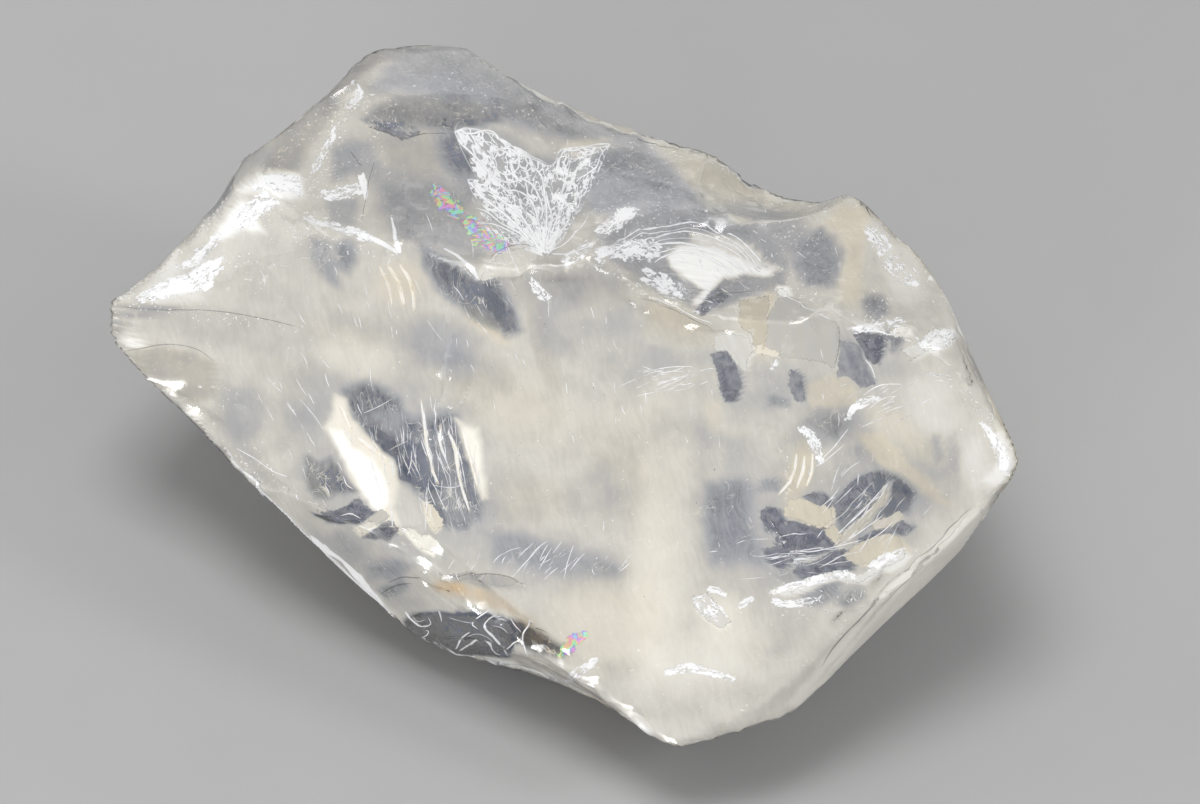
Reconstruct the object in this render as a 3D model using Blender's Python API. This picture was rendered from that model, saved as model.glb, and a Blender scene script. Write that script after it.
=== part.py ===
"""A rough, broken chunk of clear crystal, lying on its flat underside.

The chunk is one solid. It starts as the convex hull of its corner points, which stand where its
fracture faces meet. Shell-shaped fractures are then scooped out of the hull with spheres, so the
faces become shallow bowls with sharp ridges between them.
X runs along the chunk, -Y is the broad face that leans towards the viewer, and Z is up. The origin
is on the flat underside, below the middle of the chunk's bounding box.
"""

import bmesh
import bpy
from mathutils import Vector

MM = 0.001
NODE_NAME = "crystal_chunk"
SPHERE_DETAIL = 5
BASE_COLOR = (0.93, 0.93, 0.90, 1.0)
ROUGHNESS = 0.12
REFRACTIVE_INDEX = 1.54

# Corner points in millimetres, going round each part of the chunk.
LEFT_TIP = [(-31.0, 5.7, 16.5), (-31.0, 4.1, 14.5)]
LEFT_SHOULDER = [(-23.9, 14.5, 19.2), (-22.3, 16.2, 20.0)]
CROWN = [
    (-14.8, 22.6, 21.5),
    (-13.6, 24.2, 21.2),
    (-12.3, 24.9, 21.0),
    (-10.3, 25.4, 20.6),
    (-8.4, 25.4, 20.5),
    (-6.0, 24.9, 20.8),
    (-1.6, 22.7, 21.1),
]
RIGHT_SHOULDER = [
    (18.2, 10.3, 22.9),
    (20.4, 9.3, 22.9),
    (24.8, 3.8, 22.5),
    (26.0, 1.5, 22.0),
    (28.4, -6.1, 20.8),
]
RIGHT_TIP = [(30.3, -9.1, 19.6), (31.0, -10.7, 18.5), (28.8, -11.6, 14.4)]
RIGHT_BEVEL = [(26.8, -13.6, 12.5), (17.4, -20.8, 7.5), (15.5, -23.0, 6.8), (14.2, -23.8, 6.5)]
FOOT = [(7.9, -25.4, 6.2), (-7.3, -13.8, 1.6)]
LEFT_EDGE = [
    (-9.7, -13.3, 2.6),
    (-16.2, -9.3, 6.8),
    (-24.3, -2.9, 12.0),
    (-29.8, 2.4, 14.0),
]
TOP_RIDGE = [
    (-21.5, 10.7, 21.9),
    (-14.5, 19.0, 23.2),
    (-11.3, 3.9, 24.8),
    (-0.1, 3.1, 25.5),
    (11.9, -1.5, 25.6),
    (20.6, -4.0, 25.2),
]
BROAD_FACE = [(-23.5, -1.9, 14.6), (-17.0, -8.0, 12.6), (-9.2, -14.0, 9.4)]
BEVEL_LIP = [(27.6, -13.5, 17.2), (15.9, -22.0, 10.2)]
BACK_FACE = [(-17.5, 21.3, 13.0), (-8.0, 24.6, 12.0), (3.5, 19.0, 13.0), (23.0, 8.0, 14.0)]
LOW_RIM = [
    (-27.3, 9.5, 12.0),
    (-23.5, 12.5, 8.0),
    (-13.0, 19.5, 5.0),
    (0.5, 18.5, 4.5),
    (13.0, 12.0, 4.0),
    (27.4, 4.6, 9.0),
    (28.0, 1.0, 10.0),
]
UNDERSIDE = [
    (-5.0, -11.0, 0.0),
    (7.5, -12.0, 0.0),
    (16.5, -2.5, 0.0),
    (13.0, 9.0, 0.0),
    (-6.0, 14.0, 0.0),
    (-14.5, 4.5, 0.0),
]
CORNER_GROUPS = [
    LEFT_TIP,
    LEFT_SHOULDER,
    CROWN,
    RIGHT_SHOULDER,
    RIGHT_TIP,
    RIGHT_BEVEL,
    FOOT,
    LEFT_EDGE,
    TOP_RIDGE,
    BROAD_FACE,
    BEVEL_LIP,
    BACK_FACE,
    LOW_RIM,
    UNDERSIDE,
]

# Shell-shaped fractures: where the bowl opens on the surface, the way it faces, the radius of its
# curve and how deep it is, in millimetres.
SCOOPS = {
    "crown_bowl": ((5.2, 15.2, 22.9), (0.15, 0.35, 0.92), 40.0, 1.6),
    "rim_hollow": ((3.0, 18.6, 21.9), (0.35, 0.75, 0.56), 44.0, 0.8),
    "rim_bowl": ((8.6, 9.6, 23.8), (0.0, 0.28, 0.96), 40.0, 1.7),
    "notch_bowl": ((14.9, 10.6, 22.7), (-0.1, 0.6, 0.79), 7.5, 2.2),
    "hump_valley": ((16.2, 2.6, 24.7), (-0.2, 0.1, 0.97), 22.0, 1.4),
    "ripple_shell": ((9.3, 2.6, 24.6), (0.05, 0.3, 0.95), 10.0, 2.3),
    "fan_bowl": ((-4.6, 8.4, 24.6), (0.0, 0.18, 0.98), 32.0, 2.0),
    "ledge_bowl": ((-14.0, 11.2, 23.7), (-0.2, 0.05, 0.98), 34.0, 1.5),
    "flank_bowl": ((-17.3, 20.0, 19.6), (-0.75, 0.62, 0.22), 16.0, 0.6),
    "nose_bowl": ((-27.6, 9.2, 17.4), (-0.68, 0.58, 0.44), 24.0, 0.6),
    "nose_facet": ((-26.2, -0.3, 14.0), (-0.3, -0.8, 0.52), 20.0, 1.2),
    "front_left_bowl": ((-21.4, 6.4, 20.9), (-0.42, -0.2, 0.88), 32.0, 1.4),
    "front_window_bowl": ((-14.6, -2.6, 17.9), (-0.4, -0.54, 0.74), 70.0, 1.6),
    "front_middle_bowl": ((-1.0, -7.0, 18.8), (-0.12, -0.6, 0.79), 120.0, 1.4),
    "front_right_bowl": ((18.8, -9.6, 20.2), (0.1, -0.58, 0.81), 70.0, 1.4),
    "front_foot_bowl": ((4.0, -16.8, 12.6), (-0.08, -0.62, 0.78), 50.0, 0.7),
    "toe_bowl": ((-1.8, -18.6, 4.4), (-0.45, -0.78, -0.42), 30.0, 1.3),
    "tip_notch": ((29.8, -12.6, 15.7), (0.75, -0.6, -0.28), 3.0, 1.2),
    "shoulder_bowl": ((22.6, 0.6, 24.0), (0.3, 0.05, 0.95), 30.0, 1.1),
    "right_edge_bowl": ((28.2, -3.4, 20.8), (0.8, 0.15, 0.58), 40.0, 0.4),
    "right_side_bowl": ((28.2, -1.4, 13.2), (0.96, 0.15, -0.24), 34.0, 1.4),
    "back_left_bowl": ((-20.8, 17.0, 10.5), (-0.6, 0.76, -0.25), 40.0, 1.4),
    "back_middle_bowl": ((-1.5, 21.9, 10.5), (0.3, 0.94, -0.15), 48.0, 1.6),
    "back_right_bowl": ((15.0, 13.0, 11.0), (0.4, 0.9, -0.15), 46.0, 1.8),
    "under_left_bowl": ((-21.5, 1.0, 6.6), (-0.45, -0.2, -0.87), 56.0, 1.7),
    "under_back_bowl": ((-4.0, 17.0, 2.4), (-0.05, 0.55, -0.83), 34.0, 1.1),
    "under_right_bowl": ((23.0, -3.0, 5.6), (0.55, -0.1, -0.83), 50.0, 1.7),
    "under_front_bowl": ((11.5, -16.5, 2.6), (0.25, -0.45, -0.86), 36.0, 0.9),
}


def hull_of_corners(name):
    """The convex hull of every corner point, as a mesh object."""
    hull = bmesh.new()
    for group in CORNER_GROUPS:
        for corner in group:
            hull.verts.new(Vector(corner) * MM)
    made = bmesh.ops.convex_hull(hull, input=hull.verts)
    unused = {v for v in made["geom_interior"] if isinstance(v, bmesh.types.BMVert)}
    bmesh.ops.delete(hull, geom=list(unused), context="VERTS")
    bmesh.ops.recalc_face_normals(hull, faces=hull.faces)
    mesh = bpy.data.meshes.new(name)
    hull.to_mesh(mesh)
    hull.free()
    chunk = bpy.data.objects.new(name, mesh)
    bpy.context.scene.collection.objects.link(chunk)
    return chunk


def scoop_cutter(name, mouth, facing, radius, depth):
    """A sphere that cuts a bowl of this depth where it opens."""
    out = Vector(facing).normalized()
    ball = bmesh.new()
    bmesh.ops.create_icosphere(ball, subdivisions=SPHERE_DETAIL, radius=radius * MM)
    mesh = bpy.data.meshes.new(name)
    ball.to_mesh(mesh)
    ball.free()
    cutter = bpy.data.objects.new(name, mesh)
    cutter.location = (Vector(mouth) + out * (radius - depth)) * MM
    cutter.hide_render = True
    cutter.display_type = "WIRE"
    bpy.context.scene.collection.objects.link(cutter)
    return cutter


def cut_scoops(chunk):
    """Takes each shell-shaped fracture out of the chunk."""
    for name, (mouth, facing, radius, depth) in SCOOPS.items():
        cut = chunk.modifiers.new(name, "BOOLEAN")
        cut.operation = "DIFFERENCE"
        cut.solver = "EXACT"
        cut.object = scoop_cutter(f"{name}_cutter", mouth, facing, radius, depth)


def crystal_material():
    """Clear, colourless crystal with a slightly dull skin."""
    material = bpy.data.materials.new("clear_crystal")
    material.use_nodes = True
    shader = material.node_tree.nodes["Principled BSDF"]
    shader.inputs["Base Color"].default_value = BASE_COLOR
    shader.inputs["Roughness"].default_value = ROUGHNESS
    shader.inputs["Metallic"].default_value = 0.0
    shader.inputs["IOR"].default_value = REFRACTIVE_INDEX
    shader.inputs["Transmission Weight"].default_value = 1.0
    return material


def main():
    for old in list(bpy.data.objects):
        bpy.data.objects.remove(old)
    chunk = hull_of_corners(NODE_NAME)
    cut_scoops(chunk)
    chunk.data.materials.append(crystal_material())


main()
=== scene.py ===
"""Looks of a rough clear crystal chunk.

The chunk is one closed glassy surface. Sealed under it are milky clouds, a blue-grey shell of
painted shade that the clear windows show as dark depths, and the fractures and stains, and the
painted glints and highlights, that show through it.
Shapes are worked out in millimetres and written to the meshes in metres.
"""

import math

import bpy
import numpy as np
from bpy.props import FloatProperty, FloatVectorProperty, IntProperty, PointerProperty
from bpy.types import Operator, Panel, PropertyGroup
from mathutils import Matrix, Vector


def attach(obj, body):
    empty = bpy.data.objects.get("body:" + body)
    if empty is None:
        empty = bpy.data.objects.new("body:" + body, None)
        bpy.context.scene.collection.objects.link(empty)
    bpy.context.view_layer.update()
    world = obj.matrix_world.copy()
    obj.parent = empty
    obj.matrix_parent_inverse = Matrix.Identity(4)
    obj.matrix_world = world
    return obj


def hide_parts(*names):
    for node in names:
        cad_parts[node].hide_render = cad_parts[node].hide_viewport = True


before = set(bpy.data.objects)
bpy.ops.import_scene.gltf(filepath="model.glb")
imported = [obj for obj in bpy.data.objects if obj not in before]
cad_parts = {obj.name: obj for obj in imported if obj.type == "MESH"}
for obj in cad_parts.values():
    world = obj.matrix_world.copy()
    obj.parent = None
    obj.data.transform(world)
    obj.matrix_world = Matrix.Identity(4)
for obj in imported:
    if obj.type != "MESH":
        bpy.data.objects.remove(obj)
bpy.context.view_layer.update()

bl_info = {
    "name": "Rough crystal chunk",
    "version": (1, 0, 0),
    "blender": (4, 5, 0),
    "location": "3D View > Sidebar > Crystal",
    "description": "Builds a broken chunk of clear to milky crystal and a plain stage for it",
    "category": "Object",
}

MM = 0.001
# A length past everything, in millimetres, for lines that meet nothing.
FAR = 1.0e3
CHUNK = "crystal_chunk"

# The view of the chunk: the frame's size in pixels, and the camera, in millimetres.
FRAME_WIDE, FRAME_HIGH = 1200, 804
SENSOR, LENS = 36.0, 400.0
ELEVATION = math.radians(50.0)
TARGET = np.array([2.55, -0.45, 13.0])
MM_PER_PIXEL = 0.0678
BACK = np.array([0.0, -math.cos(ELEVATION), math.sin(ELEVATION)])
RIGHT = np.array([1.0, 0.0, 0.0])
UP = np.cross(BACK, RIGHT)
FOCAL_PIXELS = LENS / SENSOR * FRAME_WIDE
EYE = TARGET + BACK * MM_PER_PIXEL * FOCAL_PIXELS

# Every direction from this inner point meets the surface once.
CENTRE = np.array([1.4, 2.2, 11.6])
HALF_SIZE = np.array([31.0, 25.4, 13.5])
# The grids' directions are drawn together on the seen side, by this share.
TOWARDS_VIEW = np.array([0.05, -0.35, 0.94])
VIEW_SHARE = 0.32

# Shell-shaped fractures: where the bowl opens, the way it faces, the radius of its curve and how
# deep it is, in millimetres.
SCOOPS = {
    "crown_bowl": ((5.2, 15.2, 22.9), (0.15, 0.35, 0.92), 40.0, 1.6),
    "rim_hollow": ((3.0, 18.6, 21.9), (0.35, 0.75, 0.56), 44.0, 0.8),
    "rim_bowl": ((8.6, 9.6, 23.8), (0.0, 0.28, 0.96), 40.0, 1.7),
    "notch_bowl": ((14.9, 10.6, 22.7), (-0.1, 0.6, 0.79), 7.5, 2.2),
    "hump_valley": ((16.2, 2.6, 24.7), (-0.2, 0.1, 0.97), 22.0, 1.4),
    "ripple_shell": ((9.3, 2.6, 24.6), (0.05, 0.3, 0.95), 10.0, 2.3),
    "fan_bowl": ((-4.6, 8.4, 24.6), (0.0, 0.18, 0.98), 32.0, 2.0),
    "ledge_bowl": ((-14.0, 11.2, 23.7), (-0.2, 0.05, 0.98), 34.0, 1.5),
    "flank_bowl": ((-17.3, 20.0, 19.6), (-0.75, 0.62, 0.22), 16.0, 0.6),
    "nose_bowl": ((-27.6, 9.2, 17.4), (-0.68, 0.58, 0.44), 24.0, 0.6),
    "nose_facet": ((-26.2, -0.3, 14.0), (-0.3, -0.8, 0.52), 20.0, 1.2),
    "front_left_bowl": ((-21.4, 6.4, 20.9), (-0.42, -0.2, 0.88), 32.0, 1.4),
    "front_window_bowl": ((-14.6, -2.6, 17.9), (-0.4, -0.54, 0.74), 70.0, 1.6),
    "front_middle_bowl": ((-1.0, -7.0, 18.8), (-0.12, -0.6, 0.79), 120.0, 1.4),
    "front_right_bowl": ((18.8, -9.6, 20.2), (0.1, -0.58, 0.81), 70.0, 1.4),
    "front_foot_bowl": ((4.0, -16.8, 12.6), (-0.08, -0.62, 0.78), 50.0, 0.7),
    "toe_bowl": ((-1.8, -18.6, 4.4), (-0.45, -0.78, -0.42), 30.0, 1.3),
    "tip_notch": ((29.8, -12.6, 15.7), (0.75, -0.6, -0.28), 3.0, 1.2),
    "shoulder_bowl": ((22.6, 0.6, 24.0), (0.3, 0.05, 0.95), 30.0, 1.1),
    "right_edge_bowl": ((28.2, -3.4, 20.8), (0.8, 0.15, 0.58), 40.0, 0.4),
    "right_side_bowl": ((28.2, -1.4, 13.2), (0.96, 0.15, -0.24), 34.0, 1.4),
    "back_left_bowl": ((-20.8, 17.0, 10.5), (-0.6, 0.76, -0.25), 40.0, 1.4),
    "back_middle_bowl": ((-1.5, 21.9, 10.5), (0.3, 0.94, -0.15), 48.0, 1.6),
    "back_right_bowl": ((15.0, 13.0, 11.0), (0.4, 0.9, -0.15), 46.0, 1.8),
    "under_left_bowl": ((-21.5, 1.0, 6.6), (-0.45, -0.2, -0.87), 56.0, 1.7),
    "under_back_bowl": ((-4.0, 17.0, 2.4), (-0.05, 0.55, -0.83), 34.0, 1.1),
    "under_right_bowl": ((23.0, -3.0, 5.6), (0.55, -0.1, -0.83), 50.0, 1.7),
    "under_front_bowl": ((11.5, -16.5, 2.6), (0.25, -0.45, -0.86), 36.0, 0.9),
}

# How rough these fractures are, where 1 is as rough as the crown.
ROUGHER = {
    "crown_bowl": 1.0,
    "rim_hollow": 1.0,
    "rim_bowl": 0.8,
    "hump_valley": 0.8,
    "notch_bowl": 0.6,
    "ripple_shell": 0.3,
    "fan_bowl": 0.3,
    "ledge_bowl": 1.0,
    "front_left_bowl": 0.7,
    "nose_bowl": 1.2,
    "nose_facet": 0.8,
    "shoulder_bowl": 1.3,
    "right_edge_bowl": 0.8,
    "toe_bowl": 1.2,
    "back_left_bowl": 0.6,
    "back_right_bowl": 0.6,
}

# Nested ripples on a shell-shaped fracture: the point it was struck at, how far apart the ripples
# stand, and their height, in millimetres.
RIPPLES = {
    "ripple_shell": ((8.5, -2.0, 25.5), 0.62, 0.060),
    "shoulder_bowl": ((19.0, -4.5, 25.0), 0.85, 0.040),
    "hump_valley": ((12.0, -1.5, 25.6), 0.80, 0.045),
    "notch_bowl": ((13.0, 7.0, 23.5), 0.70, 0.045),
    "fan_bowl": ((-1.0, 14.0, 23.0), 1.30, 0.030),
    "crown_bowl": ((-8.0, 25.0, 20.8), 1.60, 0.030),
    "right_side_bowl": ((28.0, -8.0, 17.0), 1.20, 0.060),
    "back_left_bowl": ((-14.0, 19.0, 15.0), 1.50, 0.060),
    "back_middle_bowl": ((-8.0, 24.0, 14.0), 1.80, 0.070),
    "back_right_bowl": ((20.0, 9.0, 18.0), 1.60, 0.070),
    "toe_bowl": ((-7.0, -14.0, 3.0), 0.90, 0.050),
}


def unit(vectors):
    """The same directions with a length of one."""
    return vectors / np.linalg.norm(vectors, axis=-1, keepdims=True)


def smooth_step(low, high, value):
    """0 below low, 1 above high, and 3t^2 - 2t^3 between them."""
    t = np.clip((value - low) / (high - low), 0.0, 1.0)
    return t * t * (3.0 - 2.0 * t)


# A face of the CAD chunk lies on a flat fracture if no corner passes its plane by more than this,
# in millimetres, and if it has at least this area, in square metres.
PASSED_MOST, AREA_LEAST = 0.01, 1.0e-7
# Two faces lie on the same plane if n1 . n2 is over this and their levels are this near.
SAME_FACING, SAME_LEVEL = 0.9999, 0.05


def flat_fractures():
    """Outward normals and levels of the flat faces of the CAD chunk."""
    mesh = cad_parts[CHUNK].data
    corners = np.empty(len(mesh.vertices) * 3)
    mesh.vertices.foreach_get("co", corners)
    corners = corners.reshape(-1, 3) / MM
    count = len(mesh.polygons)
    normals, middles, areas = np.empty(count * 3), np.empty(count * 3), np.empty(count)
    mesh.polygons.foreach_get("normal", normals)
    mesh.polygons.foreach_get("center", middles)
    mesh.polygons.foreach_get("area", areas)
    normals, middles = normals.reshape(-1, 3), middles.reshape(-1, 3) / MM
    levels = (normals * middles).sum(1)
    passed = (normals @ corners.T).max(1) - levels
    kept = (passed < PASSED_MOST) & (areas > AREA_LEAST)
    order = np.argsort(-areas[kept])
    normals, levels = normals[kept][order], levels[kept][order]
    apart = np.abs(levels[:, None] - levels)
    same = (normals @ normals.T > SAME_FACING) & (apart < SAME_LEVEL)
    first = same.argmax(1) == np.arange(len(levels))
    return normals[first], levels[first]


def scoop_balls():
    """Centres and radii of the balls that the bowls are cut by."""
    mouths, facings, radii, depths = (np.array(column) for column in zip(*SCOOPS.values()))
    return mouths + unit(facings) * (radii - depths)[:, None], radii


FLAT_NORMALS, FLAT_LEVELS = flat_fractures()
BALL_CENTRES, BALL_RADII = scoop_balls()


def scoop_number(name):
    """A bowl's place among the fractures: the flat faces come first."""
    return len(FLAT_LEVELS) + list(SCOOPS).index(name)


def rough_shares(plain):
    """How rough every fracture is: plain, where ROUGHER doesn't name it."""
    rough = np.full(len(FLAT_LEVELS) + len(SCOOPS), plain)
    for name, share in ROUGHER.items():
        rough[scoop_number(name)] = share
    return rough


def reach(directions, inset=0.0):
    """Distances from the inner point to every fracture surface, each moved inwards by inset.

    A plane is met at (level - n.c) / n.d, and a ball at the near root of its quadratic.
    """
    along = directions @ FLAT_NORMALS.T
    room = FLAT_LEVELS - inset - FLAT_NORMALS @ CENTRE
    flat = np.where(along > 1e-6, room / np.maximum(along, 1e-6), FAR)
    away = CENTRE - BALL_CENTRES
    half = directions @ away.T
    inside = half**2 - ((away**2).sum(1) - (BALL_RADII + inset) ** 2)
    meets = (inside > 0.0) & (half < 0.0)
    curved = np.where(meets, -half - np.sqrt(np.maximum(inside, 0.0)), FAR)
    return np.concatenate([flat, curved], 1)


def chunk_surface(directions, inset=0.0, sharpness=8.0):
    """The chunk's own surface: a soft minimum of the fracture surfaces in each direction.

    Soft minimum: lowest - log(sum(exp(-sharpness * (distance - lowest)))) / sharpness.
    Gives the radius, which two fractures are lowest, and how far the second lies behind the first.
    """
    radius, lowest, gap = [], [], []
    for block in np.array_split(directions, max(1, len(directions) // 16000)):
        every = reach(block, inset)
        two = np.argpartition(every, 1, axis=1)[:, :2]
        near = np.take_along_axis(every, two, 1)
        behind = np.exp(-sharpness * (every - near[:, :1])).sum(1)
        radius.append(near[:, 0] - np.log(behind) / sharpness)
        lowest.append(two)
        gap.append(near[:, 1] - near[:, 0])
    return np.concatenate(radius), np.concatenate(lowest), np.concatenate(gap)


def surface_normals(points, lowest):
    """Outward normals of the fractures that the points lie on."""
    flat = lowest < len(FLAT_LEVELS)
    level = FLAT_NORMALS[np.where(flat, lowest, 0)]
    bowl = unit(BALL_CENTRES[np.where(flat, 0, lowest - len(FLAT_LEVELS))] - points)
    return np.where(flat[:, None], level, bowl)


def ridge_distance(directions, points, lowest, gap):
    """How far along the surface the nearest ridge is, in millimetres, and how sharp it is.

    Distance: gap * (n1 . d) / |n1 - n2|. Sharpness: |n1 - n2|, which is 2 sin(half the turn).
    """
    first = surface_normals(points, lowest[:, 0])
    turn = np.linalg.norm(first - surface_normals(points, lowest[:, 1]), axis=1)
    return gap * np.abs((first * directions).sum(1)) / np.maximum(turn, 0.05), turn


def lattice_noise(points, size, seed):
    """Smooth noise from -1 to 1: random slopes on a cubic lattice, blended by 6t^5 - 15t^4 + 10t^3."""
    slopes = unit(np.random.default_rng(seed).normal(size=(32, 32, 32, 3)))
    place = points / size
    cell = np.floor(place).astype(int)
    part = place - cell
    blend = part**3 * (part * (part * 6.0 - 15.0) + 10.0)
    total = np.zeros(len(points))
    for corner in np.ndindex(2, 2, 2):
        step = np.array(corner)
        slope = slopes[tuple(((cell + step) % 32).T)]
        weight = np.where(step, blend, 1.0 - blend).prod(1)
        total += weight * (slope * (part - step)).sum(1)
    return total * 1.6


def layered_noise(points, size, seed, layers=3):
    """Lattice noise summed over layers, each half the size and half the height of the last."""
    return sum(lattice_noise(points, size * 0.5**k, seed + k) * 0.5**k for k in range(layers))


def cell_distance(points, size, seed):
    """Distance to the nearest of one random point in each cubic cell, in cell sizes."""
    seeds = np.random.default_rng(seed).random((32, 32, 32, 3))
    place = points / size
    cell = np.floor(place).astype(int)
    nearest = np.full(len(points), 9.0)
    for corner in np.ndindex(3, 3, 3):
        at = cell + np.array(corner) - 1
        nearest = np.minimum(nearest, ((at + seeds[tuple((at % 32).T)] - place) ** 2).sum(1))
    return np.sqrt(nearest)


# Sizes of the relief in millimetres: waves, two nets of creases, and chips. The chips stand in a
# band beside each sharp ridge, and the relief fades in over a band above the floor.
WAVE_SIZE, CREASE_SIZE, FINE_CREASE_SIZE, CHIP_SIZE = 5.0, 3.4, 1.3, 1.7
CHIP_BAND = (0.3, 1.8)
FLOOR_BAND = (0.1, 1.2)
BRUISE_WIDTH = 0.55


def broken_surface(directions, look):
    """The chunk's surface with its relief, chips and ripples, all of them cut inwards.

    Relief: waves of layered noise, and shallow bowls of (distance to a random point)^2 that meet
    in creases. Chips: deep bowls near sharp ridges. Ripples: height * ((1 + cos(2 pi r / spacing))
    / 2)^2, with r from where the fracture was struck. Gives the radius, the slant n . d and how
    bruised the edge is, from 0 to 1.
    """
    radius, lowest, gap = chunk_surface(directions)
    points = CENTRE + directions * radius[:, None]
    off_floor = smooth_step(*FLOOR_BAND, points[:, 2])
    waves = (0.5 + 0.5 * layered_noise(points, WAVE_SIZE, 3, 4)) * look.relief
    rough = rough_shares(0.5)
    bent = points + 0.8 * np.stack([lattice_noise(points, 3.0, seed) for seed in (71, 72, 73)], 1)
    creases = cell_distance(bent, CREASE_SIZE, 75) ** 2
    creases = creases + 0.35 * cell_distance(bent, FINE_CREASE_SIZE, 76) ** 2
    creases = (1.0 - np.minimum(creases, 1.0)) * rough[lowest[:, 0]] * look.creases
    away, sharp = ridge_distance(directions, points, lowest, gap)
    sharp = smooth_step(0.15, 0.5, sharp)
    edge = sharp * (1.0 - smooth_step(*CHIP_BAND, away + 0.6 * lattice_noise(points, 2.2, 5)))
    bowls = np.clip(1.0 - cell_distance(points, CHIP_SIZE, 7) ** 2 * 1.6, 0.0, 1.0)
    rings = np.zeros(len(points))
    for name, (strike, spacing, height) in RIPPLES.items():
        on = lowest[:, 0] == scoop_number(name)
        ring = np.linalg.norm(points - np.array(strike), axis=1)
        ring = ring + 0.35 * lattice_noise(points, 2.5, 9) * spacing
        crest = (0.5 + 0.5 * np.cos(2.0 * math.pi * ring / spacing)) ** 2
        rings += on * height * crest * smooth_step(0.0, 0.5, gap)
    radius = radius - off_floor * (waves + creases + edge * bowls * look.chips + rings)
    slant = np.abs((surface_normals(points, lowest[:, 0]) * directions).sum(1))
    bruise = sharp * (1.0 - smooth_step(0.0, BRUISE_WIDTH, away)) * off_floor
    return radius, np.maximum(slant, 0.35), bruise


def rounded_box(count):
    """Directions and faces of a closed grid: a cube's six square grids, count cells to a side.

    Each square is spread by tan(angle), drawn together on the side that is seen, and blown up to
    the chunk's proportions.
    """
    step = np.arange(count + 1)
    a, b = (g.ravel() for g in np.meshgrid(step, step, indexing="ij"))
    sides = []
    for axis in range(3):
        for end in (0, count):
            lattice = np.zeros((len(a), 3), int)
            lattice[:, axis] = end
            lattice[:, (axis + 1) % 3], lattice[:, (axis + 2) % 3] = a, b
            sides.append(lattice)
    lattice = np.concatenate(sides)
    code = lattice @ np.array([1, count + 1, (count + 1) ** 2])
    _, first, number = np.unique(code, return_index=True, return_inverse=True)
    square = (np.arange(count)[:, None] * (count + 1) + np.arange(count)).ravel()
    quad = np.stack([square, square + count + 1, square + count + 2, square + 1], 1)
    faces = []
    for side in range(6):
        ring = quad + side * (count + 1) ** 2
        faces.append(number[ring if side % 2 else ring[:, ::-1]])
    spread = np.tan((lattice[first] / count * 2.0 - 1.0) * math.pi / 4.0)
    drawn = unit(unit(spread) + VIEW_SHARE * unit(TOWARDS_VIEW))
    return unit(drawn * HALF_SIZE), np.concatenate(faces)


def make_mesh(name, points, faces, material, attributes=None, smooth=True, chart=None, crease=None):
    """A mesh object of points in millimetres and faces of one size, with per-point values.

    chart is a flat place for each point, for the piece's UV map. Edges that turn by more than
    crease degrees are shaded sharp.
    """
    mesh = bpy.data.meshes.new(name)
    corners = faces.shape[1]
    mesh.vertices.add(len(points))
    mesh.vertices.foreach_set("co", (points * MM).astype(np.float32).ravel())
    mesh.loops.add(faces.size)
    mesh.loops.foreach_set("vertex_index", faces.astype(np.int32).ravel())
    mesh.polygons.add(len(faces))
    mesh.polygons.foreach_set("loop_start", np.arange(len(faces), dtype=np.int32) * corners)
    mesh.polygons.foreach_set("use_smooth", np.full(len(faces), smooth))
    mesh.update(calc_edges=True)
    if crease:
        mesh.set_sharp_from_angle(angle=math.radians(crease))
    for key, values in (attributes or {}).items():
        layer = mesh.attributes.new(key, "FLOAT", "POINT")
        layer.data.foreach_set("value", np.asarray(values, np.float32))
    if chart is not None:
        layer = mesh.uv_layers.new(name="chart")
        layer.data.foreach_set("uv", chart[faces.ravel()].astype(np.float32).ravel())
    mesh.materials.append(material)
    piece = bpy.data.objects.new(name, mesh)
    bpy.context.scene.collection.objects.link(piece)
    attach(piece, "root")
    return piece


def add_node(tree, kind, links=None, **values):
    """A shader node with its plain values set by name and its inputs linked from sockets."""
    node = tree.nodes.new("ShaderNode" + kind)
    for key, value in values.items():
        if key in node.inputs:
            node.inputs[key].default_value = value
        else:
            setattr(node, key, value)
    for key, source in (links or {}).items():
        tree.links.new(source, node.inputs[key])
    return node


# Where the Mix node keeps its two colours and the colour that it gives.
MIX_COLOURS, MIX_RESULT = (6, 7), 2


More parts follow.
